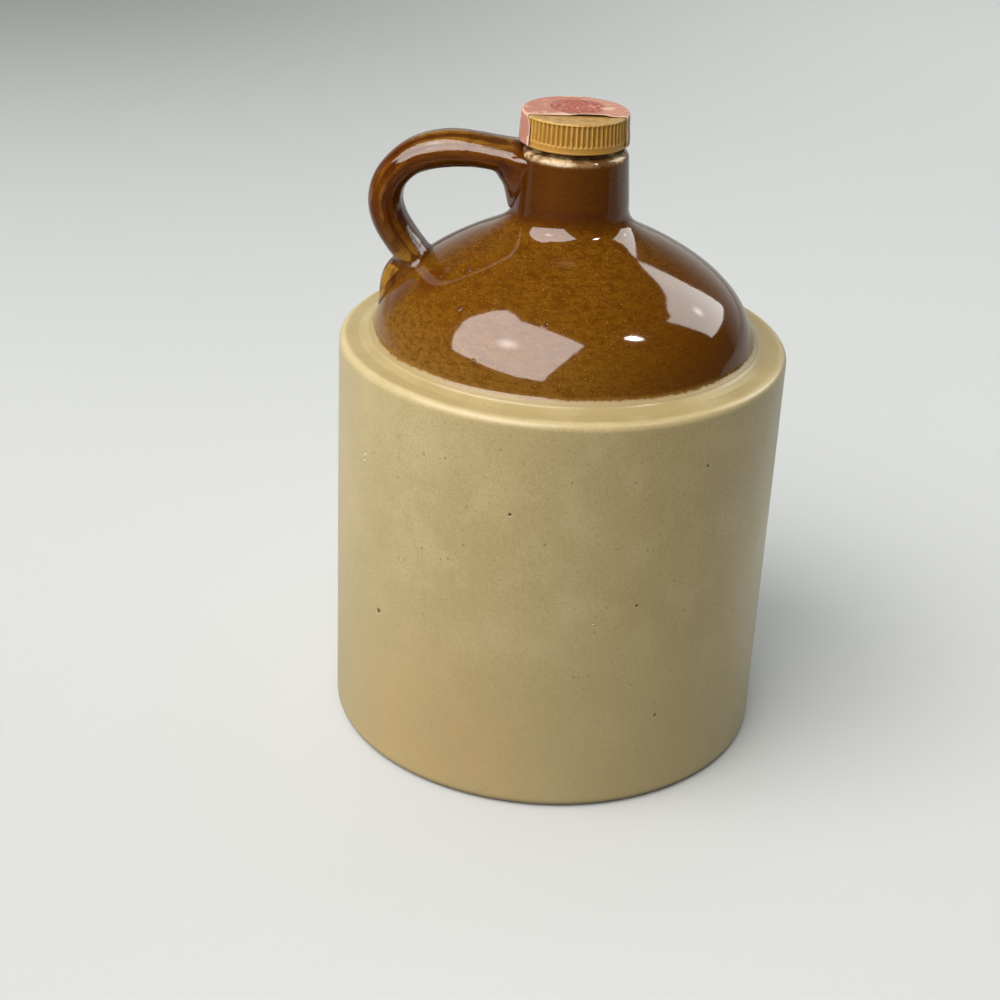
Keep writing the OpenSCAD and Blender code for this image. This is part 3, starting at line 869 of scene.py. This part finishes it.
def dome_outline(s):
    """From the seat, up the dome, the neck and the finish, over the lip and down the bore."""
    foot, neck_top = s.foot_radius + FOOT_FLARE, neck_top_of(s)
    shoulder, lip = neck_top - s.neck_round, LIP_Z - s.lip_round
    step, seam = 0.4 * MM, 0.03 * MM
    line = Outline([(s.foot_radius - s.wall, SEAT_Z), (foot - seam, SEAT_Z), (foot, SEAT_Z),
                    (foot, SEAT_Z + seam)])
    line += [(p.x + FOOT_FLARE * max(1 - (p.y - SEAT_Z) / FLARE_HEIGHT, 0) ** 2, p.y)
             for p in dome_line(s, 120)[1:]]
    line.run_to((s.neck_top_radius, shoulder), 14)
    line.turn((s.neck_top_radius - s.neck_round, shoulder), s.neck_round, 0, 90, 10)
    line.run_to((s.finish_radius + step, neck_top), 2)
    line.run_to((s.finish_radius, neck_top + step), 2)
    line.run_to((s.finish_radius, lip), 10)
    line.turn((s.finish_radius - s.lip_round, lip), s.lip_round, 0, 90, 6)
    line.turn((s.bore_radius + s.lip_round, lip), s.lip_round, 90, 180, 6)
    inner = inner_dome_line(s)
    line.run_to((s.bore_radius, inner[0].y + inner[0].x - s.bore_radius), 16)
    line += [tuple(p) for p in inner]
    line.append(line[0])
    return line


class JUG_OT_domed_top(Operator):
    """Throws the domed top with its neck and threaded finish, and glazes it brown"""
    bl_idname = "jug.domed_top"
    bl_label = "Domed top"

    def execute(self, context):
        s = context.scene.jug_dome
        neck_foot, neck_top = SEAT_Z + s.height, neck_top_of(s)
        bm = spun(dome_outline(s), 240)
        strayed(bm, context.scene.jug_crock.waviness)
        thread_ridge(bm, LIP_Z - THREAD_DROP, s.finish_radius, s.thread_depth, s.thread_pitch,
                     s.thread_turns, half_height=0.8 * MM)

        def form(place):
            """Glaze gathers in the throat and thins on the finish."""
            throat = tent(neck_foot, 3 * MM, place.z)
            finish = smoothstep(neck_top + 0.2 * MM, neck_top + 0.6 * MM, place.z)
            outside = from_axis(place) > s.bore_radius + 0.4 * MM
            return (0.5 * finish - 0.25 * throat) * outside

        def worn(place):
            """The pale broken glaze on the neck's top edge, patchy round the neck, with a
            painted highlight in its right-hand patch.
            """
            shoulder = between(neck_top - 1.9 * MM, neck_top - 0.9 * MM,
                               neck_top + 0.1 * MM, neck_top + 0.6 * MM, place.z)
            bearing = math.degrees(math.atan2(place.y, place.x)) % 360
            patches = max(tent(middle, reach, bearing) for middle, reach in WORN_AND_HIGHLIGHT_PATCHES)
            return shoulder * (0.3 + 0.7 * smoothstep(0, 0.5, patches))

        mark(bm, "form", form)
        mark(bm, "worn", worn)
        finished("domed_top_clay", bm, "jug", "brown_glaze", brown_glaze(s), "domed_top")
        return {"FINISHED"}


# The handle

# The strap's centre line, as shares of the way out from the neck and up from its foot on the
# dome, and the shares of its thickness and width there
STRAP_SHARES = [
    (-0.18, 0.922, 0.78, 1.30), (-0.09, 0.944, 0.88, 1.24), (0.02, 0.962, 0.95, 1.15),
    (0.14, 0.975, 0.98, 1.06), (0.28, 0.989, 1.02, 1.00), (0.44, 0.984, 1.09, 0.98),
    (0.60, 0.941, 1.07, 0.98), (0.73, 0.859, 1.00, 1.00), (0.84, 0.708, 1.00, 1.02),
    (0.88, 0.531, 1.02, 1.03), (0.85, 0.361, 1.03, 1.05), (0.775, 0.207, 1.01, 1.07)]
# Its last stations, as shares of its thickness out from its foot
FOOT_SHARES = [(0.10, 0.23, 0.98, 1.12), (-0.26, -0.26, 1.06, 1.14)]
# The root down the neck: shares of the strap's thickness outwards and of the neck's height,
# with shares of the strap's thickness and width
ROOT_SHARES = [
    (-0.06, 0.86, 0.80, 1.28), (-0.02, 0.62, 1.16, 1.14), (0.00, 0.43, 1.02, 1.04),
    (0.00, 0.32, 0.68, 0.96), (0.00, 0.20, 0.52, 0.88), (0.00, 0.06, 0.42, 0.78),
    (0.02, -0.08, 0.30, 0.66), (0.06, -0.20, 0.12, 0.45)]
# The pressed tail: place along the flank, shares of the tail's thickness and width
TAIL_SHARES = [
    (0.74, 0.70, 0.92), (0.66, 1.12, 0.97), (0.58, 1.18, 0.96), (0.50, 1.02, 0.92),
    (0.43, 0.76, 0.86), (0.36, 0.42, 0.77), (0.29, 0.14, 0.64), (0.22, 0.05, 0.46)]
STRAP_FOOT_SHARE = 0.7
FLANK_STEPS = 100


def through(a, b, c, d, t):
    """A place on a smooth curve that runs through b and c."""
    return 0.5 * (2 * b + (c - a) * t + (2 * a - 5 * b + 4 * c - d) * t * t
                  + (3 * b - a - 3 * c + d) * t ** 3)


def smooth_path(stations, legs):
    """Stations with more between them, on a smooth curve."""
    p = [Vector(s) for s in stations]
    last = len(p) - 1
    path = [through(p[max(i - 1, 0)], p[i], p[i + 1], p[min(i + 2, last)], j / legs)
            for i in range(last) for j in range(legs)]
    return path + [p[last]]


def run_at(path, i):
    """The way that a path runs at one of its places."""
    return (path[min(i + 1, len(path) - 1)] - path[max(i - 1, 0)]).normalized()


def swept(bm, stations, squareness, groove=0.0, legs=6, sides=48):
    """A strap swept along (out, up, half thickness, half width) stations on the -X side."""
    path = smooth_path(stations, legs)
    centres = [p.to_2d() for p in path]
    power = 2 / squareness
    rings = []
    for i, (out, up, thickness, width) in enumerate(path):
        run = run_at(centres, i)
        ring = []
        for k in range(sides):
            t = TURN * k / sides
            c, w = math.cos(t), math.sin(t)
            drawn = groove * (0.5 - 0.5 * math.cos(10 * t + 0.05 * i)) \
                * (0.6 + 0.4 * math.sin(3 * t + 0.11 * i))
            thick = math.copysign(abs(c) ** power, c) * (thickness - drawn)
            wide = math.copysign(abs(w) ** power, w) * (width - drawn)
            ring.append(bm.verts.new((run.y * thick - out, wide, run.x * thick + up)))
        rings.append([bm.edges.new(pair) for pair in zip(ring, ring[1:] + ring[:1])])
    for low, high in zip(rings, rings[1:]):
        bmesh.ops.bridge_loops(bm, edges=low + high)
    bmesh.ops.contextual_create(bm, geom=rings[0])
    bmesh.ops.contextual_create(bm, geom=rings[-1])
    return [Vector((-p.x, 0, p.y)) for p in centres]


class Skin:
    """The outside of the dome and neck, looked up by height."""

    ROW = 0.1 * MM

    def __init__(self, dome):
        line = dome_line(dome, 160)
        line += [Vector((dome.neck_top_radius, neck_top_of(dome) - dome.neck_round)),
                 Vector((dome.neck_top_radius, LIP_Z))]
        self.rows = []
        i = 0
        for row in range(int((LIP_Z - SEAT_Z) / self.ROW)):
            z = SEAT_Z + row * self.ROW
            while line[i + 1].y < z and i < len(line) - 2:
                i += 1
            a, b = line[i], line[i + 1]
            radius = a.x + (z - a.y) / (b.y - a.y) * (b.x - a.x)
            self.rows.append((radius, (b - a).normalized()))

    def over(self, place):
        """How far a place lies outside the skin, and the skin's normal under it."""
        row = min(max(int((place.z - SEAT_Z) / self.ROW), 0), len(self.rows) - 1)
        radius, run = self.rows[row]
        out = from_axis(place)
        normal = Vector((place.x / out * run.y, place.y / out * run.y, -run.x))
        return (out - radius) * run.y, normal


def flare_joints(bm, skin, neck_foot):
    """Draws the clay out where it meets the jug, further on the neck than on the dome."""
    deepest, sunk = -1 * MM, -0.3 * MM
    bm.normal_update()
    for v in bm.verts:
        gap, under = skin.over(v.co)
        on_neck = smoothstep(neck_foot - 1 * MM, neck_foot + 3 * MM, v.co.z)
        reach = (2.4 + 3.4 * on_neck) * MM
        flare = (1.0 + 2.0 * on_neck) * MM
        if deepest < gap < reach:
            along = v.normal - v.normal.dot(under) * under
            along.z = min(along.z, 0)
            v.co += along * flare * (1 - max(gap, sunk) / reach) ** 3


def sponged(mesh, skin, path, neck_foot):
    """Smooths and flares the joints as a wet sponge does, and notes what the glaze needs.

    The normals turn into those of the jug's skin where the clay runs into it.
    """
    bm = bmesh.new()
    bm.from_mesh(mesh)
    names = ("form", "clay", "along", "around_x", "around_y")
    form, clay, far_along, around_x, around_y = [bm.verts.layers.float.new(name)
                                                 for name in names]
    soften(bm, 3)
    flare_joints(bm, skin, neck_foot)
    soften(bm, 2)
    soften(bm, 12, [v for v in bm.verts if v.co.z > neck_foot - 4 * MM and v.co.x > -26 * MM])
    bm.normal_update()
    before = {v: (v.co.copy(), v.normal.copy()) for v in bm.verts}
    soften(bm, 24)
    tree = kdtree.KDTree(len(path))
    for i, place in enumerate(path):
        tree.insert(place, i)
    tree.balance()
    shades = []
    for v, (place, normal) in before.items():
        gap, under = skin.over(place)
        on_neck = smoothstep(neck_foot - 3 * MM, neck_foot + 1 * MM, place.z)
        joint = 1 - smoothstep(0, 1.6 * MM, gap)
        near = (1 - smoothstep(0, 2.2 * MM, gap)) ** 2 * (0.4 + 0.6 * on_neck) \
            * (1 - smoothstep(neck_foot + 9 * MM, neck_foot + 12 * MM, place.z))
        shades.append(normal.lerp(under, near).normalized())
        # A point that the last smoothing moved inwards is on a ridge
        ridge = (place - v.co).dot(normal) / (0.10 * MM) - 0.9
        flange = on_neck * (1 - smoothstep(1 * MM, 3.5 * MM, gap))
        shape = ridge * (1 - joint) * (1 - 0.85 * flange) - 0.75 * joint * (1 - 0.9 * on_neck)
        v[form] = max(-1, min(1, shape))
        v[clay] = max(smoothstep(0.2 * MM, 2 * MM, gap), 1 - on_neck)
        centre, i, distance = tree.find(place)
        run, aside = run_at(path, i), (place - centre).normalized()
        v[far_along] = i * 1.2 * MM + (place - centre).dot(run)
        v[around_x] = aside.y
        v[around_y] = aside.dot(Vector((-run.z, 0, run.x)))
        v.co = place
    bm.to_mesh(mesh)
    bm.free()
    mesh.normals_split_custom_set_from_vertices(shades)


class JUG_OT_handle(Operator):
    """Pulls the strap handle and lutes it to the neck and the dome"""
    bl_idname = "jug.handle"
    bl_label = "Handle"

    def execute(self, context):
        s, dome = context.scene.jug_handle, context.scene.jug_dome
        flank = dome_line(dome, FLANK_STEPS)
        foot = flank[int(FLANK_STEPS * STRAP_FOOT_SHARE)]
        neck_foot = SEAT_Z + dome.height
        reach = -HANDLE_LOW.x - dome.neck_radius
        rise = neck_top_of(dome) + s.rise - s.thickness / 2 - foot.y
        thick, wide = s.thickness / 2, s.width / 2
        strap = [(dome.neck_radius + a * reach, foot.y + b * rise, c * thick, d * wide)
                 for a, b, c, d in STRAP_SHARES]
        strap += [(foot.x + a * s.thickness, foot.y + b * s.thickness, c * thick, d * wide)
                  for a, b, c, d in FOOT_SHARES]
        root = [(dome.neck_radius + a * s.thickness, neck_foot + b * dome.neck_height,
                 c * thick, d * wide) for a, b, c, d in ROOT_SHARES]
        tail = [(*flank[int(FLANK_STEPS * a)], b * s.tail_thickness / 2, c * s.tail_width / 2)
                for a, b, c in TAIL_SHARES]
        bm = bmesh.new()
        path = swept(bm, strap, s.squareness, s.groove)
        swept(bm, root, s.squareness)
        path += swept(bm, tail, s.tail_squareness, 0.5 * s.groove)
        bmesh.ops.recalc_face_normals(bm, faces=bm.faces)
        piece = finished("strap_handle", bm, "jug", "brown_glaze",
                         bpy.data.objects["domed_top_clay"].data.materials[0], "handle")
        remesh = piece.modifiers.new("joined", "REMESH")
        remesh.mode = "VOXEL"
        remesh.voxel_size = s.voxel
        remesh.use_smooth_shade = True
        settled(piece)
        sponged(piece.data, Skin(dome), path, neck_foot)
        return {"FINISHED"}


# The cap

def cap_outline(s, bore):
    """From the middle of the top, over its edge, down the skirt and up the inside."""
    low, high, ceiling = CAP_LOW.z, CAP_HIGH.z, CAP_HIGH.z - s.top
    top_r, chamfer = s.radius - s.taper, 0.3 * MM
    line = Outline([(0, high - s.dish)])
    line.run_to((top_r - 2.2 * MM, high - s.dish), 10)
    line.run_to((top_r - 1.6 * MM, high), 3)
    line.turn((top_r - s.edge_round, high - s.edge_round), s.edge_round, 90, 0, 8)
    line.run_to((s.radius, low + 0.25 * MM), 34)
    line.run_to((s.radius - chamfer, low), 2)
    line.run_to((bore + chamfer, low), 3)
    line.run_to((bore, low + chamfer), 2)
    line.run_to((bore, ceiling), 10)
    line.run_to((0, ceiling), 8)
    return line


class JUG_OT_cap(Operator):
    """Moulds the ribbed screw cap with its thread"""
    bl_idname = "jug.cap"
    bl_label = "Screw cap"

    def execute(self, context):
        s, pitch = context.scene.jug_cap, context.scene.jug_dome.thread_pitch
        low, high = CAP_LOW.z, CAP_HIGH.z
        bore = s.radius - s.wall
        side = bore + 0.4 * MM
        rib_top, rib_foot = high - s.edge_round - 0.1 * MM, low + s.band
        bm = spun(cap_outline(s, bore), s.ribs * 8)

        def wave(place):
            """-1 in the middle of a groove and 1 on the middle of a rib."""
            return math.cos(math.atan2(place.y, place.x) * s.ribs)

        def groove(place):
            """How deep in a groove a place on the side lies, from 0 to 1."""
            ends = between(rib_foot - 0.25 * MM, rib_foot + 0.35 * MM,
                           rib_top - 0.25 * MM, rib_top + 0.15 * MM, place.z)
            return (0.5 - 0.5 * wave(place)) ** 0.5 * ends if from_axis(place) >= side else 0

        def worn(place):
            """Where the top, the ribs and the lower edge are rubbed; on the ribs' crests and
            lower tips it is partly a painted highlight.
            """
            top = smoothstep(high - 0.75 * MM, high - 0.2 * MM, place.z)
            tip = tent(rib_foot + 0.25 * MM, 0.6 * MM, place.z)
            lower = 1 - smoothstep(low + 0.1 * MM, low + 0.45 * MM, place.z)
            above = smoothstep(rib_foot - 0.3 * MM, rib_foot + 0.2 * MM, place.z)
            # Rib crests are rubbed pale, partly a painted highlight that is brightest at their
            # lower tips
            crest = (0.5 + 0.5 * wave(place)) ** 2 * above * max(0.8, 1.3 * tip)
            outside = from_axis(place) > bore + 0.3 * MM
            return max(top, crest, 0.3 * lower) if outside or top else 0

        mark(bm, "groove", groove)
        depth = bm.verts.layers.float["groove"]
        for v in bm.verts:
            if from_axis(v.co) > side:
                band = between(low + 0.1 * MM, low + 0.7 * MM,
                               rib_foot - 0.3 * MM, rib_foot + 0.1 * MM, v.co.z)
                v.co -= outwards(v.co) * (s.rib_depth * v[depth] + s.band_depth * band)
        mark(bm, "worn", worn)
        # Its thread starts half a pitch under the one on the finish, with a hair of play
        thread_ridge(bm, LIP_Z - THREAD_DROP - pitch / 2 + 0.05 * MM, bore, -s.thread_depth,
                     pitch, s.thread_turns, half_height=0.6 * MM)
        finished("ribbed_cap", bm, "cap", "cap_plastic", cap_plastic(s), "screw_cap")
        return {"FINISHED"}


def wad_outline():
    """A disc with rounded edges, from the middle of its underside."""
    r, low, high = WAD_HIGH.x, WAD_LOW.z, WAD_HIGH.z
    under, over = 0.15 * MM, 0.2 * MM
    line = Outline([(0, low)])
    line.run_to((r - under, low), 12)
    line.turn((r - under, low + under), under, -90, 0, 3)
    line.turn((r - over, high - over), over, 0, 90, 4)
    line.run_to((0, high), 12)
    return line


def facing_outline(lip):
    """A thin disc with the ring that the lip pressed into it, from its underside."""
    r, low, high = WAD_HIGH.x, FACING_LOW.z, FACING_HIGH.z
    pressed = low + 0.06 * MM
    line = Outline([(0, low)])
    line.run_to((lip - 2.6 * MM, low), 8)
    line.run_to((lip - 2.2 * MM, pressed), 2)
    line.run_to((lip - 0.5 * MM, pressed), 4)
    line.run_to((lip - 0.1 * MM, low), 2)
    line.run_to((r - 0.05 * MM, low), 3)
    line.run_to((r, low + 0.05 * MM))
    line.run_to((r, (low + high) / 2))
    line.run_to((r, high))
    line.run_to((0, high), 10)
    return line


class JUG_OT_liner(Operator):
    """Presses the pulpboard wad and its facing"""
    bl_idname = "jug.liner"
    bl_label = "Wad and facing"

    def execute(self, context):
        wad = spun(wad_outline(), 96)
        finished("pulp_wad", wad, "liner", "pulpboard", pulpboard(context.scene.jug_cap),
                 "cap_liner")
        facing = spun(facing_outline(context.scene.jug_dome.finish_radius), 96)
        finished("facing_film", facing, "liner", "liner_film", liner_film(), "liner_facing")
        return {"FINISHED"}


# The strip

def strip_point(s, cap, share, back):
    """A point of the strip, from its shares along it and back from its front edge.

    Returns where it lies on the cap, its place on the flat paper and how creased it is.
    """
    top = CAP_HIGH.z + 0.05 * MM
    rim = cap.radius - cap.taper + 0.06 * MM
    drop = CAP_HIGH.z - STRIP_LOW.z
    fold, bulge, tuck = 0.5 * MM, 0.75, 0.7
    across = back * s.width - s.front
    edge = math.sqrt(max(rim * rim - across * across, 0.01 * MM * MM))
    # Rows nearer the back reach the rim sooner, so each row is cut to end at one height
    along = share * 2 * (edge + drop)
    flat = (along, (back - 0.5) * s.width)
    over = abs(along) - edge
    if over > -0.2 * MM:
        # The ends hang narrower than the top: their back edges are pulled forward
        down = smoothstep(-0.2 * MM, 3 * MM, over)
        bearing = math.asin(across / rim)
        bearing -= 0.36 * down * max(bearing - math.radians(10), 0)
        bearing -= math.radians(7) * down * (1 - back) * (along < 0)
        across, edge = rim * math.sin(bearing), rim * math.cos(bearing)
    side = math.copysign(1, along)
    ruck = noise.noise(Vector((along * 260, across * 330, 2.7)))
    lift = s.ruck * (0.5 + 0.5 * ruck)
    if over < -fold:
        # The middle of the front edge has come unstuck
        loose = smoothstep(-s.front + 1.6 * MM, -s.front, across) \
            * between(-3 * MM, 1 * MM, 6 * MM, 9.5 * MM, along)
        x, z = along, top + lift + s.loose * loose
    elif over < fold:
        bend = (over + fold) / (2 * fold) * math.pi / 2
        x = side * (edge - fold * tuck + fold * bulge * math.sin(bend))
        z = top + lift - fold * bulge * (1 - math.cos(bend))
    else:
        x = side * (edge + 0.04 * MM + lift)
        z = top - over
    # The cap widens downwards, and the ends with it
    spread = 1 + 1.05 * cap.taper / rim * smoothstep(0, drop, max(over, 0))
    crease = max(0.8 * tent(0, 0.55 * MM, over), 0.7 * smoothstep(0.42, 0.62, abs(ruck)))
    return (x * spread, across * spread, z), flat, crease


class JUG_OT_strip(Operator):
    """Pastes the paper strip over the cap and folds its ends down"""
    bl_idname = "jug.strip"
    bl_label = "Seal strip"

    def execute(self, context):
        s, cap = context.scene.jug_strip, context.scene.jug_cap
        bm = bmesh.new()
        uv = bm.loops.layers.uv.new("strip")
        bmesh.ops.create_grid(bm, x_segments=150, y_segments=60, size=0.5)
        crease = bm.verts.layers.float.new("crease")
        flat = {}
        for v in bm.verts:
            v.co, flat[v], v[crease] = strip_point(s, cap, v.co.x, v.co.y + 0.5)
        for face in bm.faces:
            for loop in face.loops:
                loop[uv].uv = flat[loop.vert]
        bmesh.ops.rotate(bm, verts=bm.verts, cent=(0, 0, 0),
                         matrix=Matrix.Rotation(s.skew, 3, "Z"))
        bmesh.ops.recalc_face_normals(bm, faces=bm.faces)
        piece = finished("paper_strip", bm, "cap", "strip_paper", strip_paper(s),
                         "seal_strip")
        solid = piece.modifiers.new("paper", "SOLIDIFY")
        solid.thickness = s.thickness
        solid.offset = 1
        return {"FINISHED"}


# The stage

def floor_material(s):
    """A pale sweep whose tones paint in the light's fall-off: darker towards its far left, paler
    towards its far right and in a middle band.
    """
    f = Finish("floor", Roughness=0.75)
    x, y, out = f.axis("X"), f.axis("Y"), f.radius()
    # Painted light and shade: the tones stand for the lamps' fall-off across the floor, darker
    # near the left and far left
    near = f.laid(s.near_left, s.near_right, f.ramp(x, -0.2, 0.1))
    far = f.laid(s.far_left, s.far_right, f.ramp(x, -0.5, 0.3))
    tone = f.laid(near, far, f.ramp(y, -0.1, 1.1))
    tone = f.laid(tone, FLOOR_MIDDLE, f.ramp(y, -0.25, 0.2), f.ramp(y, 0.9, 0.35), 0.4)
    # The room is dark on the camera's side, so only the camera sees the near floor pale
    path = f.add("ShaderNodeLightPath")
    seen, shine = path.outputs["Is Camera Ray"], path.outputs["Is Glossy Ray"]
    around = f.times(f.ramp(out, 0.20, 0.36, 0, 0.7), f.ramp(y, 0.12, 0.45, 1, 0))
    mirrored = f.most(f.ramp(y, -0.14, 0.02, 0.95, 0.1), around)
    dark = f.most(f.ramp(y, -0.16, 0.10, 0.80, 0.32), f.times(shine, mirrored))
    # The glaze's right side mirrors a paler floor close by
    right = f.times(f.ramp(x, 0.05, 0.08, 0, 0.75), f.ramp(y, -0.02, 0.04),
                    f.ramp(out, 0.14, 0.22, 1, 0))
    dark = f.times(dark, f.rest(f.times(shine, right)))
    return f.done(Base_Color=f.laid(f.laid(tone, BLACK, dark), tone, seen))


# Tones of the surrounding light at two heights, and the backdrop that the camera sees
SKY_STOPS = [(0.0, (0.98, 1.0, 0.97, 1)), (0.45, (0.13, 0.135, 0.135, 1))]
BACKDROP = (0.24, 0.25, 0.24)


def surroundings(scene, s):
    """Pale light from behind the jug, dimmer overhead and on the camera's side."""
    world = bpy.data.worlds.new("studio")
    scene.world = world
    world.use_nodes = True
    w = Wiring(world.node_tree, output="Generated")
    y = w.axis("Y")
    high = w.add("ShaderNodeValToRGB", {"Fac": w.axis("Z")})
    for stop, (position, tone) in zip(high.color_ramp.elements, SKY_STOPS):
        stop.position, stop.color = position, tone

    def dimmed(light, *ramp):
        """Light that changes evenly along an axis."""
        return w.blend(1.0, light, w.ramp(*ramp, kind="LINEAR"), "MULTIPLY")

    around = dimmed(high.outputs["Color"], y, -0.6, 0.5, 0.2, 1.5)
    around = dimmed(around, w.axis("X"), -0.9, 0.9, 1.2, 0.66)
    gloss = dimmed(high.outputs["Color"], y, 0.6, 0.96, 0.012, 0.24)
    path = w.add("ShaderNodeLightPath")
    light = w.blend(path.outputs["Is Glossy Ray"], around, gloss)
    background = world.node_tree.nodes["Background"]
    w.join(background.inputs["Color"], w.laid(light, BACKDROP, path.outputs["Is Camera Ray"]))
    w.join(background.inputs["Strength"], s.sky)


# Each lamp's place, the way its face looks, its roll, width, height and tint, and the outline
# of its cloth: the top and bottom edges as shares of the width and height
BOX_LAMP = ((-0.446, -0.511, 1.078), (0.523, 0.634, -0.568), 0, 1.41, 1.32, (1.0, 0.93, 0.90),
            ((0, 0.66), (0.09, 0.87), (0.18, 0.935), (0.27, 0.92), (0.377, 0.865),
             (0.66, 0.94), (1, 1)),
            ((0, 0.57), (0.118, 0.12), (0.506, 0.028), (0.736, 0), (1, 0.03)))
SIDE_LAMP = ((0.646, 0.546, 0.652), (-0.677, -0.51, -0.53), 0, 0.497, 0.636,
             (1.0, 0.98, 0.93),
             ((0, 1), (0.135, 0.92), (0.28, 0.935), (0.56, 0.854), (0.78, 0.865),
              (0.92, 0.905), (1, 0.885)),
             ((0, 0.196), (0.61, 0.05), (0.96, 0), (1, 0)))
SPOT_LAMP = ((0.576, -0.153, 1.018), (-0.521, 0.121, -0.843), -51.5, 0.19, 0.075,
             (1.0, 0.92, 0.84), None, None)


def lamp(scene, name, radiance, place, facing, roll, width, height, tint, top, bottom):
    """An area lamp: a box with an outlined cloth, or an ellipse when it has no outline."""
    light = bpy.data.lights.new(name, "AREA")
    light.shape = "RECTANGLE" if top else "ELLIPSE"
    light.size = width
    light.size_y = height
    light.color = tint
    light.energy = radiance * math.pi * width * height
    light.use_nodes = True
    cloth(light.node_tree, top, bottom)
    holder = bpy.data.objects.new(name, light)
    holder.matrix_world = Matrix.Translation(place) @ \
        Vector(facing).to_track_quat("-Z", "Y").to_matrix().to_4x4() @ \
        Matrix.Rotation(math.radians(roll), 4, "Z")
    scene.collection.objects.link(holder)
    return holder


def cloth(tree, top, bottom):
    """Gives a lamp's cloth its uneven edges and a brighter place over its bulb."""
    w = Wiring(tree, "ShaderNodeNewGeometry", "Parametric")
    across, up = w.axis("X"), w.axis("Y")
    soft, bulb, bright = 0.008, (0.48, 0.48, 0), 2.1
    parts = []
    for edge, way in ((top, 1), (bottom, -1)) if top else ():
        curve = w.add("ShaderNodeFloatCurve", {"Value": across})
        points = curve.mapping.curves[0].points
        for i, place in enumerate(edge):
            point = points[i] if i < 2 else points.new(*place)
            point.location = place
            point.handle_type = "VECTOR"
        curve.mapping.update()
        gap = w.math("SUBTRACT", up, curve.outputs["Value"])
        parts.append(w.ramp(gap, -soft * way, soft * way, 1, 0))
    reach, dim = (0.11, 0.97) if top else (0.5, 0.06)
    core = w.ramp(w.distance(w.place, bulb), 0.0, reach, bright, dim)
    w.join(tree.nodes["Emission"].inputs["Strength"], w.times(*parts, core))


def lamps(scene, s):
    """Hangs the three lamps."""
    lamp(scene, "softbox", s.box_light, *BOX_LAMP)
    # These two show in the glaze only: their light is too faint to throw a shadow
    for name, radiance, place in (("side_softbox", s.side_light, SIDE_LAMP),
                                  ("spot", s.spot_light, SPOT_LAMP)):
        lamp(scene, name, radiance, *place).visible_diffuse = False


CAMERA_PLACE = Vector((32.04, -458.2, 286.3)) * MM
CAMERA_YAW, CAMERA_PITCH, CAMERA_ROLL = map(math.radians, (-5.78, 26.32, 2.64))
CAMERA_LENS, CAMERA_SENSOR = 67.89, 36


def camera(scene):
    """The photograph's own view of the jug."""
    level = Vector((math.cos(CAMERA_YAW), -math.sin(CAMERA_YAW), 0))
    ahead = UP.cross(level)
    forward = math.cos(CAMERA_PITCH) * ahead - math.sin(CAMERA_PITCH) * UP
    above = level.cross(forward)
    right = math.cos(CAMERA_ROLL) * level + math.sin(CAMERA_ROLL) * above
    data = bpy.data.cameras.new("camera")
    data.lens = CAMERA_LENS
    data.sensor_width = CAMERA_SENSOR
    data.clip_start = 10 * MM
    view = bpy.data.objects.new("camera", data)
    turn = Matrix((right, right.cross(forward), -forward)).transposed()
    view.matrix_world = Matrix.Translation(CAMERA_PLACE) @ turn.to_4x4()
    scene.collection.objects.link(view)
    scene.camera = view


class JUG_OT_stage(Operator):
    """Sets the floor, the lamps, the surrounding light and the camera"""
    bl_idname = "jug.stage"
    bl_label = "Stage"

    def execute(self, context):
        s = context.scene.jug_stage
        bm = bmesh.new()
        bmesh.ops.create_grid(bm, x_segments=2, y_segments=2, size=4)
        mesh = bpy.data.meshes.new("floor")
        bm.to_mesh(mesh)
        bm.free()
        mesh.materials.append(floor_material(s))
        floor = bpy.data.objects.new("floor", mesh)
        context.scene.collection.objects.link(floor)
        surroundings(context.scene, s)
        lamps(context.scene, s)
        camera(context.scene)
        context.scene.view_settings.view_transform = "Standard"
        return {"FINISHED"}


OPERATORS = [JUG_OT_crock, JUG_OT_domed_top, JUG_OT_handle, JUG_OT_cap, JUG_OT_liner,
             JUG_OT_strip, JUG_OT_stage]


class JUG_PT_panel(Panel):
    """Lists the jug's pieces"""
    bl_idname = "JUG_PT_panel"
    bl_label = "Crock jug"
    bl_space_type = "VIEW_3D"
    bl_region_type = "UI"
    bl_category = "Crock jug"

    def draw(self, context):
        for operator in OPERATORS:
            self.layout.operator(operator.bl_idname)


def register():
    for name, group in SETTINGS.items():
        bpy.utils.register_class(group)
        setattr(bpy.types.Scene, name, PointerProperty(type=group))
    for operator in OPERATORS:
        bpy.utils.register_class(operator)
    bpy.utils.register_class(JUG_PT_panel)


def unregister():
    bpy.utils.unregister_class(JUG_PT_panel)
    for operator in reversed(OPERATORS):
        bpy.utils.unregister_class(operator)
    for name, group in SETTINGS.items():
        delattr(bpy.types.Scene, name)
        bpy.utils.unregister_class(group)


def main():
    """Builds the jug piece by piece."""
    register()
    for operator in OPERATORS:
        group, name = operator.bl_idname.split(".")
        getattr(getattr(bpy.ops, group), name)()


if __name__ == "__main__":
    main()
